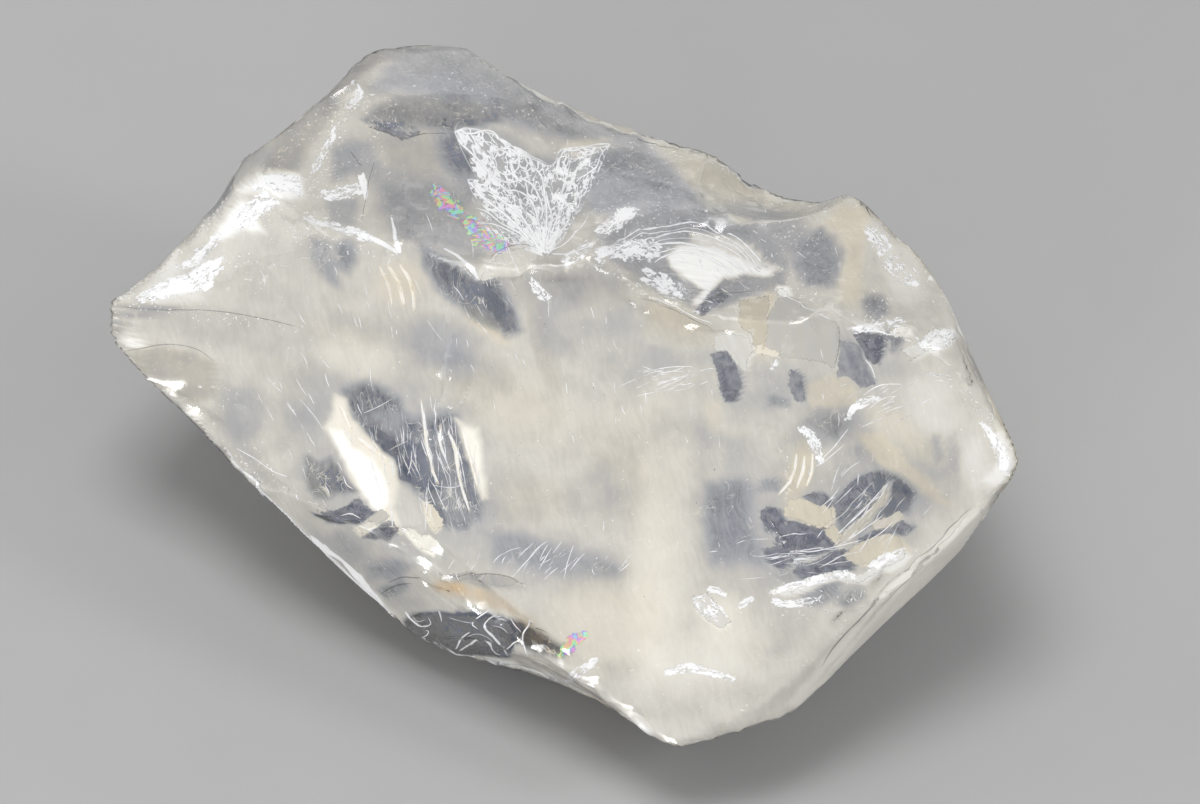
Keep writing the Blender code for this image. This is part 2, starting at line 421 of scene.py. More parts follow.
class Recipe:
    """A material's node tree, with short names for the nodes that every finish here uses."""

    def __init__(self, name):
        self.material = bpy.data.materials.new(name)
        self.material.use_nodes = True
        self.tree = self.material.node_tree
        self.tree.nodes.clear()
        self.output = self.tree.nodes.new("ShaderNodeOutputMaterial")
        where = self.tree.nodes.new("ShaderNodeTexCoord")
        self.place, self.chart = where.outputs["Object"], where.outputs["UV"]

    def stretched(self, turn, scale, source=None):
        """Coordinates turned by degrees and then scaled, for streaks and fans."""
        turned = add_node(self.tree, "Mapping", {"Vector": source or self.place})
        turned.inputs["Rotation"].default_value = [math.radians(a) for a in turn]
        node = add_node(self.tree, "Mapping", {"Vector": turned.outputs["Vector"]})
        node.inputs["Scale"].default_value = scale
        return node.outputs["Vector"]

    def noise(self, size, detail=4.0, rough=0.55, warp=0.0, source=None):
        """Cloudy noise whose lumps are size millimetres across."""
        node = add_node(self.tree, "TexNoise", {"Vector": source or self.place})
        node.inputs["Scale"].default_value = 1.0 / (size * MM)
        node.inputs["Detail"].default_value = detail
        node.inputs["Roughness"].default_value = rough
        node.inputs["Distortion"].default_value = warp
        return node.outputs["Fac"]

    def warped(self, size, amount, source=None):
        """Coordinates pushed about by noise: at most amount millimetres, in lumps of that size."""
        node = add_node(self.tree, "TexNoise", {"Vector": source or self.place})
        node.inputs["Scale"].default_value = 1.0 / (size * MM)
        node.inputs["Detail"].default_value = 2.0
        push = add_node(self.tree, "VectorMath", operation="MULTIPLY_ADD")
        self.tree.links.new(node.outputs["Color"], push.inputs[0])
        push.inputs[1].default_value = [2.0 * amount * MM] * 3
        self.tree.links.new(source or self.place, push.inputs[2])
        return push.outputs["Vector"]

    def drawn_out(self, way, squeeze, source=None):
        """Coordinates that run slower along one way, so that what is mapped by them is drawn out."""
        turn = Vector(way).rotation_difference(Vector((0, 1, 0))).to_euler()
        return self.stretched([math.degrees(angle) for angle in turn], (1.0, squeeze, 1.0), source)

    def filaments(self, size, width, source=None):
        """1 along the curly lines where noise crosses its middle, fading to 0 over width in value."""
        noise = self.noise(size, 2.0, 0.6, 0.0, source)
        away = self.maths("ABSOLUTE", self.maths("SUBTRACT", noise, 0.5))
        return self.span(away, width * 0.3, width, 1.0, 0.0)

    def cracks(self, size, width, source=None):
        """1 on the borders of random cells size millimetres across, fading to 0 over width.

        Noise makes each border thicker here and thinner there.
        """
        node = add_node(self.tree, "TexVoronoi", {"Vector": source or self.place})
        node.feature = "DISTANCE_TO_EDGE"
        node.inputs["Scale"].default_value = 1.0 / (size * MM)
        thick = self.span(self.noise(size * 0.8, 2.0, source=source), 0.3, 0.7, 0.35, 1.8)
        away = self.maths("DIVIDE", node.outputs["Distance"], thick)
        return self.span(away, 0.0, width / size, 1.0, 0.0)

    def value(self, name):
        """A value that the mesh carries at each point."""
        return add_node(self.tree, "Attribute", attribute_name=name).outputs["Fac"]

    def span(self, source, low, high, start=0.0, end=1.0, smooth=True):
        """Maps low..high to start..end, without going past them."""
        node = add_node(self.tree, "MapRange", {"Value": source})
        node.interpolation_type = "SMOOTHSTEP" if smooth else "LINEAR"
        limits = {"From Min": low, "From Max": high, "To Min": start, "To Max": end}
        for key, number in limits.items():
            node.inputs[key].default_value = number
        return node.outputs["Result"]

    def swing(self, source, low, high):
        """The middle of a noise stretched to low..high, for adding to another value."""
        return self.span(source, 0.3, 0.7, low, high)

    def maths(self, operation, *terms):
        """A sum on numbers and sockets."""
        node = add_node(self.tree, "Math", operation=operation)
        for socket, term in zip(node.inputs, terms):
            if isinstance(term, (int, float)):
                socket.default_value = term
            else:
                self.tree.links.new(term, socket)
        return node.outputs["Value"]

    def blend(self, factor, first, second, how="MIX"):
        """first where factor is 0 and second where it is 1. Each is a colour or a socket."""
        node = add_node(self.tree, "Mix", data_type="RGBA", blend_type=how, clamp_factor=True)
        self.tree.links.new(factor, node.inputs["Factor"])
        for place, colour in zip(MIX_COLOURS, (first, second)):
            if isinstance(colour, bpy.types.NodeSocket):
                self.tree.links.new(colour, node.inputs[place])
            else:
                node.inputs[place].default_value = (*colour[:3], 1.0)
        return node.outputs[MIX_RESULT]

    def bump(self, height, depth, strength=1.0):
        """A surface normal from a height from 0 to 1 that stands for depth millimetres."""
        node = add_node(self.tree, "Bump", {"Height": height})
        node.inputs["Strength"].default_value = strength
        node.inputs["Distance"].default_value = depth * MM
        return node.outputs["Normal"]

    def surface(self, links, **values):
        """The Principled shader, on the output."""
        shader = self.tree.nodes.new("ShaderNodeBsdfPrincipled")
        for key, value in values.items():
            shader.inputs[key.replace("_", " ")].default_value = value
        for key, source in links.items():
            self.tree.links.new(source, shader.inputs[key])
        self.tree.links.new(shader.outputs["BSDF"], self.output.inputs["Surface"])
        return self.material

    def matt(self, links, roughness=0.5, **values):
        """The Principled shader without gloss, for what is sealed in the crystal."""
        return self.surface(links, Roughness=roughness, Specular_IOR_Level=0.0, **values)


# The ways that the fine streaks and the scratches across them run.
STREAKS_RUN = (0.28, -0.79, -0.56)
SCRATCHES_RUN = (0.80, 0.50, 0.34)


def glassy_skin(look):
    """Clear crystal with a fine broken grain and hairline scratches."""
    skin = Recipe("glassy_skin")
    grain = skin.noise(0.8, 4.0, 0.6)
    hair = skin.noise(0.30, 2.0, 0.5, source=skin.drawn_out(STREAKS_RUN, 0.08))
    rough = skin.span(skin.noise(3.0, 3.0), 0.42, 0.72, look.roughness * 0.3, look.roughness * 2.5)
    rough = skin.maths("ADD", rough, skin.maths("MULTIPLY", skin.value("edge"), 0.25))
    relief = skin.maths("ADD", skin.maths("MULTIPLY", grain, 0.7), skin.maths("MULTIPLY", hair, 0.3))
    material = skin.surface(
        {"Roughness": rough, "Normal": skin.bump(relief, 0.05, 0.6)},
        Base_Color=(*look.colour, 1.0),
        IOR=look.ior,
        Transmission_Weight=1.0,
    )
    absorb = add_node(skin.tree, "VolumeAbsorption", Density=look.absorption)
    absorb.inputs["Color"].default_value = (*look.absorption_colour, 1.0)
    skin.tree.links.new(absorb.outputs["Volume"], skin.output.inputs["Volume"])
    return material


def veil_finish(look):
    """A milky sheet: the lower its tone value, the more it lets through, and the higher, the whiter.

    Noise moves the tone up and down, hair-fine lines hang over its clear windows, bruised edges
    and grit whiten it, warmth tints it cream and rust tints it with iron. Below 0 it is painted
    dark shade, for the dark that the clear pocket shows.
    """
    veil = Recipe("milky_veil_finish")
    bent = veil.warped(2.5, 0.9)
    streaky = veil.drawn_out(STREAKS_RUN, 0.09, bent)
    across = veil.drawn_out(SCRATCHES_RUN, 0.16, bent)
    lumps = veil.swing(veil.noise(1.8, 2.0, 0.5), -0.03, 0.03)
    streaks = veil.noise(0.30, 3.0, 0.6, source=streaky)
    grain = veil.noise(0.24, 2.0, 0.6)
    tone = veil.maths("ADD", veil.value("tone"), lumps)
    window = veil.span(tone, 0.10, 0.42, 1.0, 0.1)
    drawn = veil.maths("ADD", veil.swing(streaks, -0.06, 0.06), veil.swing(grain, -0.02, 0.02))
    tone = veil.maths("ADD", tone, veil.maths("MULTIPLY", drawn, window))
    hanging = veil.filaments(0.9, 0.013, streaky)
    web = veil.maths("MAXIMUM", hanging, veil.filaments(1.1, 0.010, across))
    here = veil.span(veil.noise(1.3, 1.0), 0.46, 0.60, 0.0, 0.32)
    lines = veil.maths("MULTIPLY", web, here)
    gritty = veil.maths("MULTIPLY", veil.value("grit"), 0.13)
    specks = veil.span(veil.maths("ADD", veil.noise(0.22, 1.0, 0.7), gritty), 0.75, 0.79)
    ragged = veil.swing(veil.noise(0.5, 2.0, 0.65), -0.7, 0.25)
    bruise = veil.span(veil.maths("ADD", veil.value("edge"), ragged), 0.3, 0.9, 0.0, 0.4)
    tone = veil.maths("ADD", tone, veil.maths("MULTIPLY", lines, window))
    tone = veil.maths("ADD", tone, bruise)
    tone = veil.maths("ADD", tone, veil.maths("MULTIPLY", specks, 0.4))
    deeper, paler = ([shade * part for shade in look.milk] for part in (0.975, 1.025))
    milk = veil.blend(veil.swing(streaks, 0.0, 1.0), deeper, paler)
    milk = veil.blend(veil.span(tone, 0.30, 0.46), look.frost, milk)
    shade = veil.blend(veil.span(tone, 0.52, 0.92, smooth=False), milk, look.white)
    shade = veil.blend(veil.value("warmth"), shade, look.cream, "MULTIPLY")
    shade = veil.blend(veil.value("rust"), shade, look.iron, "MULTIPLY")
    # Below a tone of 0, painted dark shade for the clear pocket.
    colour = veil.blend(veil.span(tone, -0.3, 0.0, 1.0, 0.0), shade, look.dark)
    opaque = veil.maths(
        "MAXIMUM",
        veil.span(tone, 0.0, 0.52, 0.06, 1.0, smooth=False),
        veil.span(tone, -0.3, 0.0, 0.95, 0.0),
    )
    return veil.matt({"Base Color": colour, "Alpha": opaque}, 0.6)


def shard_finish(look):
    """A sharp-edged piece of cloud or window, coloured by its tone as the milky sheet is. At low tones it
    is painted shade, the dark that a clear window shows.
    """
    shard = Recipe("shard_finish")
    streaks = shard.noise(0.35, 3.0, 0.6, source=shard.drawn_out(STREAKS_RUN, 0.2))
    tone = shard.maths("ADD", shard.value("tone"), shard.swing(streaks, -0.05, 0.05))
    milk = shard.blend(shard.span(tone, 0.30, 0.50), look.frost, look.milk)
    shade = shard.blend(shard.span(tone, 0.52, 0.92, smooth=False), milk, look.white)
    shade = shard.blend(shard.value("warmth"), shade, look.cream, "MULTIPLY")
    murk = shard.span(shard.noise(0.7, 4.0, 0.65, 0.8), 0.38, 0.68, 0.0, 0.6)
    # Low tones take painted shade, for the dark that a clear window shows, mottled with frost.
    window_shade = shard.blend(murk, look.window_shade, look.frost)
    colour = shard.blend(shard.span(tone, 0.14, 0.40, 1.0, 0.0), shade, window_shade)
    ragged = shard.swing(shard.noise(0.30, 3.0, 0.6), -0.10, 0.10)
    inside = shard.maths("ADD", shard.value("fade"), ragged)
    cover = shard.span(shard.value("tone"), 0.15, 0.60, 0.50, 0.90)
    opaque = shard.maths("MULTIPLY", shard.span(inside, 0.46, 0.56), cover)
    return shard.matt({"Base Color": colour, "Alpha": opaque}, 0.6)


def depth_shade_finish(look):
    """Painted shade: the blue-grey dark that the clear windows show, laid on a shell inside the crystal,
    in soft drifts with paler wisps.
    """
    depth_shade = Recipe("painted_depth_shade_finish")
    drift = depth_shade.span(depth_shade.noise(2.6, 3.0, 0.6), 0.35, 0.65)
    wisp = depth_shade.span(depth_shade.noise(1.2, 3.0, 0.65), 0.55, 0.8, 0.0, 0.5)
    shade = depth_shade.blend(wisp, depth_shade.blend(drift, look.depth_shade, look.pale_depth_shade), look.milk)
    return depth_shade.matt({"Base Color": shade}, 0.6, Alpha=0.85)


def glint_finish(core, rim):
    """A painted glint: a highlight laid on as colour, white in its middle, warm at its feathered sides,
    drawn out in hairs.
    """
    glint = Recipe("glint_finish")
    chart = glint.stretched((0, 0, 0), (0.12, 1.0, 1.0), glint.chart)
    hairs = glint.swing(glint.noise(0.22, 3.0, 0.65, 0.6, chart), -0.38, 0.38)
    fade = glint.maths("ADD", glint.value("fade"), hairs)
    colour = glint.blend(glint.span(fade, 0.3, 0.8), rim, core)
    return glint.matt({"Base Color": colour, "Alpha": glint.span(fade, 0.28, 0.45)})


def facet_finish(colour):
    """A lit facet: nearly smooth, with faint curved steps and a few specks of dirt."""
    facet = Recipe("facet_finish")
    steps = facet.noise(1.2, 3.0, 0.5, 1.5, facet.chart)
    specks = facet.span(facet.noise(0.3, 2.0), 0.70, 0.76, 1.0, 0.4)
    ragged = facet.maths("ADD", facet.value("fade"), facet.swing(steps, -0.3, 0.3))
    opaque = facet.maths("MULTIPLY", facet.span(ragged, 0.2, 0.35), specks)
    return facet.matt({"Alpha": opaque}, Base_Color=(*colour, 1.0))


def broken_finish(name, colour, cell, crack, fill, stretch=(1.0, 1.0, 1.0)):
    """A broken sheet: curly bright cracks, filled in here and there and at the sheet's rim.

    It follows the sheet's own map, with cells about cell millimetres across. crack is the width
    of the cracks in value, and fill the share that is filled in. It fades out by the mesh's fade
    value.
    """
    sheet = Recipe(name)
    chart = sheet.stretched((0, 0, 0), stretch, sheet.chart)
    bent = sheet.warped(cell * 1.5, cell * 0.8, chart)
    curls = sheet.filaments(cell * 1.7, crack, bent)
    fine = sheet.filaments(cell * 0.6, crack * 1.4, bent)
    net = sheet.cracks(cell * 1.3, 0.07, sheet.warped(cell * 0.6, cell * 0.6, chart))
    lumps = sheet.noise(cell * 1.2, 5.0, 0.7, 0.8, chart)
    more = sheet.maths("MULTIPLY", sheet.value("filled"), 0.13)
    solid = sheet.span(sheet.maths("ADD", lumps, more), 0.62 - fill * 0.25, 0.65 - fill * 0.25)
    cover = curls
    for layer in (fine, net, solid, sheet.value("rim")):
        cover = sheet.maths("MAXIMUM", cover, layer)
    torn = sheet.swing(sheet.noise(0.5, 4.0, 0.7), -0.6, 0.5)
    ragged = sheet.maths("ADD", sheet.value("fade"), torn)
    opaque = sheet.maths("MULTIPLY", cover, sheet.span(ragged, 0.36, 0.46))
    return sheet.matt({"Alpha": opaque}, Base_Color=(*colour, 1.0))


def plain_finish(name, colour, strength=1.0):
    """Short, bright or dark marks, lightly mottled: crisp where their fade value falls off."""
    mark = Recipe(name)
    mottle = mark.swing(mark.noise(0.5, 2.0), 0.5, 1.0)
    opaque = mark.maths("MULTIPLY", mark.value("fade"), mottle)
    opaque = mark.span(opaque, 0.15, 0.40, 0.0, strength)
    return mark.matt({"Alpha": opaque}, Base_Color=(*colour, 1.0))


def colour_setting(name, description, default):
    """A colour setting."""
    return FloatVectorProperty(
        name=name, description=description, subtype="COLOR", default=default, min=0.0, max=1.0
    )


def number_setting(name, description, default, low=0.0, high=1.0e4):
    """A setting that is a plain number, or a size in the unit that its description names."""
    return FloatProperty(name=name, description=description, default=default, min=low, max=high)


def count_setting(name, description, default, low=0, high=3000):
    """A setting that is a whole number."""
    return IntProperty(name=name, description=description, default=default, min=low, max=high)


class CrystalSkinLook(PropertyGroup):
    """Glassy surface of the chunk."""

    cells: count_setting("Cells", "Cells along a side of the surface grid", 127, 16, 128)
    relief: number_setting("Relief", "Height of the broken relief, in mm", 0.10, 0.0, 0.5)
    creases: number_setting("Creases", "Depth of the shallow bowls between creases, in mm", 0.22, 0.0, 1.0)
    chips: number_setting("Chips", "Depth of the chips along edges, in mm", 0.42, 0.0, 1.0)
    roughness: number_setting("Roughness", "Dullness of the surface", 0.06, 0.0, 1.0)
    ior: number_setting("Refractive index", "How strongly light bends", 1.54, 1.0, 2.5)
    colour: colour_setting("Colour", "Tint of the glassy surface", (0.985, 0.985, 0.98))
    absorption: number_setting("Absorption", "How fast light fades inside, per metre", 10.0)
    absorption_colour: colour_setting("Absorption colour", "Colour that passes best", (0.66, 0.69, 0.75))


class CrystalCloudLook(PropertyGroup):
    """Milky layers inside the chunk, and the painted shade of its clear windows and dark pocket."""

    milk: colour_setting("Milk", "Colour of the milky clouds", (0.705, 0.687, 0.642))
    frost: colour_setting("Frost", "Colour of the thin clouds", (0.69, 0.69, 0.705))
    white: colour_setting("White", "Colour of the brightest clouds", (0.98, 0.98, 0.97))
    cream: colour_setting("Cream", "Tint of the warm clouds", (1.0, 0.95, 0.84))
    iron: colour_setting("Iron stain", "Tint of the iron stain", (1.0, 0.76, 0.46))
    # The next four colours are painted shade: the dark that the clear windows and the clear pocket show,
    # laid on sheets inside the crystal.
    window_shade: colour_setting("Slate", "Colour of the sharp-edged windows", (0.24, 0.25, 0.32))
    depth_shade: colour_setting("Smoke", "Colour of the clear depths", (0.15, 0.19, 0.29))
    dark: colour_setting("Dark", "Colour of the dark pocket and wedges", (0.15, 0.145, 0.14))
    pale_depth_shade: colour_setting("Haze", "Colour of the drifts in the depths", (0.31, 0.355, 0.49))


class CrystalFractureLook(PropertyGroup):
    """Fractures, glints, seams, scratches and flecks inside the chunk."""

    white: colour_setting("Fracture white", "Colour of the broken white sheets", (0.99, 0.99, 1.0))
    # The glints are painted highlights.
    glint: colour_setting("Glint", "Colour of the warm glints", (1.0, 0.90, 0.70))
    seam: colour_setting("Seam", "Colour of the thin grey seams", (0.36, 0.345, 0.33))
    speck: colour_setting("Speck", "Colour of the dark specks", (0.05, 0.045, 0.04))
    scratches: count_setting("Scratches", "How many loose hairline scratches", 330, 0, 2000)
    flecks: count_setting("Flecks", "How many bright flecks", 950)
    specks: count_setting("Specks", "How many dark specks", 46, 0, 500)


class CrystalStageLook(PropertyGroup):
    """Floor and light."""

    floor: colour_setting("Floor", "Colour of the floor", (0.28, 0.28, 0.28))
    sky: number_setting("Sky", "Strength of the even light from all round", 0.60)
    key: number_setting("Key", "Strength of the main light, in watts", 1.6)


def pixels_of(points):
    """Where the camera sees points, in pixels of the frame."""
    away = points - EYE
    depth = -(away @ BACK)
    across = away @ RIGHT / depth * FOCAL_PIXELS + FRAME_WIDE / 2
    down = FRAME_HIGH / 2 - away @ UP / depth * FOCAL_PIXELS
    return across, down


# How near to a ball's skin, in millimetres, a place counts as on it.
ON_SKIN = 1.0e-9


def first_seen(across, down):
    """Where the camera's lines of sight meet the chunk, and which of them do.

    A line enters at the farthest plane that it crosses inwards. While that point lies in a ball,
    it moves on to where the line leaves the ball.
    """
    sight = unit(
        -BACK
        + RIGHT * ((across - FRAME_WIDE / 2) / FOCAL_PIXELS)[:, None]
        + UP * ((FRAME_HIGH / 2 - down) / FOCAL_PIXELS)[:, None]
    )
    along = sight @ FLAT_NORMALS.T
    plane = (FLAT_LEVELS - FLAT_NORMALS @ EYE) / along
    at = np.where(along < 0.0, plane, -FAR).max(1)
    leave = np.where(along > 0.0, plane, 4.0 * FAR).min(1)
    away = EYE - BALL_CENTRES
    half = sight @ away.T
    inside = half**2 - ((away**2).sum(1) - BALL_RADII**2)
    root = np.sqrt(np.maximum(inside, 0.0))
    near, far = -half - root, -half + root
    for _ in range(8):
        entered, left = near <= at[:, None] + ON_SKIN, at[:, None] >= far - ON_SKIN
        within = (inside > 0.0) & entered & ~left
        at = np.where(within.any(1), np.where(within, far, -FAR).max(1), at)
    return EYE + sight * at[:, None], at < leave


# The chunk's middle in pixels of the frame, and how far at a time a stray pixel is drawn to it.
SEEN_MIDDLE = (565.0, 400.0)
DRAWN, KEPT = 0.015, 0.985


def under(across, down, depth):
    """Points depth under the broken surface, at these pixels of the frame.

    A pixel that misses the chunk is drawn towards the chunk's middle until it doesn't.
    """
    across, down = np.array(across, float), np.array(down, float)
    for _ in range(40):
        points, meets = first_seen(across, down)
        if meets.all():
            break
        across = np.where(meets, across, across * KEPT + SEEN_MIDDLE[0] * DRAWN)
        down = np.where(meets, down, down * KEPT + SEEN_MIDDLE[1] * DRAWN)
    directions = unit(points - CENTRE)
    radius, slant, _ = broken_surface(directions, bpy.context.scene.crystal_skin)
    return CENTRE + directions * (radius - depth / slant)[:, None]


def grid_faces(rows, columns, start=0):
    """Four-cornered faces of a grid of rows by columns points, numbered from start."""
    corner = (np.arange(rows - 1)[:, None] * columns + np.arange(columns - 1)).ravel() + start
    return np.stack([corner, corner + columns, corner + columns + 1, corner + 1], 1)


def along_path(path, share):
    """Points at these shares of a path's length, on a smooth cubic curve through its corners."""
    path = np.array(path, float)
    length = np.concatenate([[0.0], np.cumsum(np.hypot(*np.diff(path[:, :2], axis=0).T))])
    slope = np.gradient(path, length, axis=0)
    wanted = share * length[-1]
    span = np.clip(np.searchsorted(length, wanted, side="right") - 1, 0, len(path) - 2)
    step = (length[span + 1] - length[span])[:, None]
    t = (wanted - length[span])[:, None] / step
    return (
        (2 * t**3 - 3 * t**2 + 1) * path[span]
        + (t**3 - 2 * t**2 + t) * step * slope[span]
        + (3 * t**2 - 2 * t**3) * path[span + 1]
        + (t**3 - t**2) * step * slope[span + 1]
    )


def joined(sheets):
    """The points and faces of several grids as one, from (points, rows, columns) of each."""
    faces, total = [], 0
    for points, rows, columns in sheets:
        faces.append(grid_faces(rows, columns, total))
        total += len(points)
    return np.concatenate([points for points, _, _ in sheets]), np.concatenate(faces)


# Strips: pixels from row to row, fewest and most rows, the share of the length that a strip fades
# in over, the share of its half width that is whole, and millimetres between strips on the map.
ROW_PIXELS, ROWS_LEAST, ROWS_MOST = 3.0, 7, 80
END_SHARE, WHOLE_SHARE, MAP_GAP = 0.12, 0.45, 7.0


def strip_sheets(name, strips, material, depth, columns=13, rough=0.0, width=3.0):
    """One piece of strips sunk under the surface, where the camera sees them.

    A strip is (strength, path), and its path is a list of (across, down, half width) in pixels.
    It has columns points from one side of the path to the other, and its depth wavers by rough
    millimetres of noise. It fades to nothing at its sides and ends. Its map runs along it and
    across it in millimetres, as if it were width wide everywhere.
    """
    sheets, fades, charts = [], [], []
    side = np.linspace(-1.0, 1.0, columns)
    for number, (strength, path) in enumerate(strips):
        length = np.hypot(*np.diff(np.array(path, float)[:, :2], axis=0).T).sum()
        rows = int(np.clip(length / ROW_PIXELS, ROWS_LEAST, ROWS_MOST))
        share = np.linspace(0.0, 1.0, rows)
        spine = along_path(path, share)
        ahead = unit(np.gradient(spine[:, :2], axis=0))
        across = spine[:, :1] - ahead[:, 1:] * side * spine[:, 2:]
        down = spine[:, 1:2] + ahead[:, :1] * side * spine[:, 2:]
        sheet = under(across.ravel(), down.ravel(), depth)
        if rough:
            waver = 0.6 * layered_noise(sheet, 1.1, 31) + 0.4 * layered_noise(sheet, 0.4, 37)
            sheet = under(across.ravel(), down.ravel(), depth + rough * (0.5 + waver))
        sheets.append((sheet, rows, columns))
        ends = smooth_step(0.0, END_SHARE, share) * smooth_step(0.0, END_SHARE, 1.0 - share)
        fade = strength * ends[:, None] * (1.0 - smooth_step(WHOLE_SHARE, 1.0, np.abs(side)))
        fades.append(fade.ravel())
        run = np.broadcast_to((share * length * MM_PER_PIXEL)[:, None], across.shape)
        cross = np.broadcast_to(side * width / 2 + MAP_GAP * number, across.shape)
        charts.append(np.stack([run.ravel(), cross.ravel()], 1) * MM)
    values = {"fade": np.concatenate(fades)}
    return make_mesh(name, *joined(sheets), material, values, chart=np.concatenate(charts))


# How many pixels the fade value of an outlined sheet takes from 0 to 1.
FADE_PIXELS = 12.0


def outline_sheets(name, patches, material, depth, rise, cell=2.5, margin=5.0):
    """One piece of sheets sunk under the surface, each cropped by its traced outline.

    A patch is (softness, tone, warmth, outline). Its sheet is a grid of cell pixels over the
    outline's box and a margin. The fade value is 0.5 on the outline and grows inwards. The first
    sheet lies at depth and the last almost rise millimetres higher, so that none coincide.
    """
    sheets, values = [], {"fade": [], "tone": [], "warmth": []}
    for place, (_, tone, warmth, corners) in enumerate(patches):
        low, high = np.min(corners, 0) - margin, np.max(corners, 0) + margin
        columns, rows = np.ceil((high - low) / cell).astype(int) + 1
        sides = np.linspace(low[0], high[0], columns), np.linspace(low[1], high[1], rows)
        across, down = (grid.ravel() for grid in np.meshgrid(*sides))
        sheet = under(across, down, depth - rise * place / len(patches))
        sheets.append((sheet, rows, columns))
        inside = outline_depth(across, down, corners)
        values["fade"].append(np.clip(0.5 + inside / FADE_PIXELS, 0.0, 1.0))
        values["tone"].append(np.full(len(sheet), tone))
        values["warmth"].append(np.full(len(sheet), np.clip(warmth, 0.0, 1.0)))
    values = {key: np.concatenate(parts) for key, parts in values.items()}
    return make_mesh(name, *joined(sheets), material, values)


# How near to its tip the fan begins, as a share of its reach, and how much its map is magnified.
TIP_SHARE, FAN_MAP = 0.04, 4.0


def fan_sheet(name, tip, outline, material, depth, rough, rows=90, columns=110):
    """A fan-shaped sheet sunk under the surface, where the camera sees it.

    A point lies at tip + share * reach * (cos, -sin) of its angle, and outline gives the reach in
    pixels and the white share at some angles in degrees. Its map is (log of the way from the tip,
    angle), so what is even on the map grows from the tip outwards.
    """
    degrees, most, filled = np.array(outline, float).T
    angle = np.linspace(degrees[0], degrees[-1], columns)
    share = np.geomspace(TIP_SHARE, 1.0, rows)
    away = share[:, None] * np.interp(angle, degrees, most)
    filled = np.interp(angle, degrees, filled)
    filled = filled + 0.6 * (1.0 - smooth_step(0.2, 0.55, share))[:, None]
    angle = np.radians(angle)
    across = (tip[0] + away * np.cos(angle)).ravel()
    down = (tip[1] - away * np.sin(angle)).ravel()
    flat = under(across, down, depth)
    waver = 0.6 * layered_noise(flat, 1.4, 31) + 0.4 * layered_noise(flat, 0.5, 37)
    sheet = under(across, down, depth + rough * (0.5 + waver))
    side = np.abs(np.linspace(-1.0, 1.0, columns))
    rim = np.maximum(smooth_step(0.955, 0.99, share)[:, None], smooth_step(0.94, 0.98, side))
    tip_white = 1.0 - smooth_step(0.12, 0.34, share)
    values = {
        "fade": np.ones(len(sheet)),
        "rim": np.maximum(rim, tip_white[:, None]).ravel(),
        "filled": filled.ravel(),
    }
    chart = np.stack([np.log(away).ravel(), np.broadcast_to(angle, away.shape).ravel()], 1)
    chart = chart * FAN_MAP * MM
    return make_mesh(name, sheet, grid_faces(rows, columns), material, values, chart=chart)


def outline_depth(across, down, corners):
    """How far places lie inside an outline, in pixels: below 0 outside it.

    The distance is to the nearest side, and the sign is from how often a level line crosses the
    outline on one side of the place.
    """
    nearest = np.full(len(across), FAR)
    crossed = np.zeros(len(across), bool)
    for (x0, y0), (x1, y1) in zip(corners, corners[1:] + corners[:1]):
        dx, dy = x1 - x0, y1 - y0
        share = np.clip(((across - x0) * dx + (down - y0) * dy) / (dx**2 + dy**2), 0.0, 1.0)
        nearest = np.minimum(nearest, np.hypot(across - x0 - share * dx, down - y0 - share * dy))
        level = (y0 > down) != (y1 > down)
        crossed ^= level & (across < x0 + dx * (down - y0) / (dy or 1.0))
    return np.where(crossed, nearest, -nearest)


def strokes(across, down, marks):
    """The sum of many soft oval strokes at each place, one row for each of their amounts.

    A mark is (across, down, half length, half width, turn in degrees, and its amounts). It is
    whole at its middle and falls by 1 - smooth_step(0.35, 1.25, oval distance).
    """
    total = np.zeros((len(marks[0]) - 5, len(across)))
    for x, y, long, wide, turn, *amounts in marks:
        angle = math.radians(turn)
        u = ((across - x) * math.cos(angle) + (down - y) * math.sin(angle)) / long
        v = ((down - y) * math.cos(angle) - (across - x) * math.sin(angle)) / wide
        share = 1.0 - smooth_step(0.35, 1.25, np.hypot(u, v))
        total += np.array(amounts)[:, None] * share
    return total


def read_places(text):
    """Tuples of numbers from a text of places: numbers parted by commas, and places by spaces."""
    return [tuple(float(value) for value in place.split(",")) for place in text.split()]


def read_rows(rows):
    """The rows, with the text of places that ends each one read."""
    return [(*values, read_places(text)) for *values, text in rows]


# How deep the layers lie under the surface, in millimetres.
DEPTH_SHADE_INSET = 2.0
VEIL_DEPTH = 0.10
SHARD_DEPTH = 0.09
FACET_DEPTH, FILM_DEPTH = 0.06, 0.06
FRACTURE_DEPTH, GLINT_DEPTH, CRACK_DEPTH = 0.05, 0.05, 0.05
HAIRLINE_DEPTH = 0.045
SEAM_DEPTH, FLECK_DEPTH = 0.04, 0.04
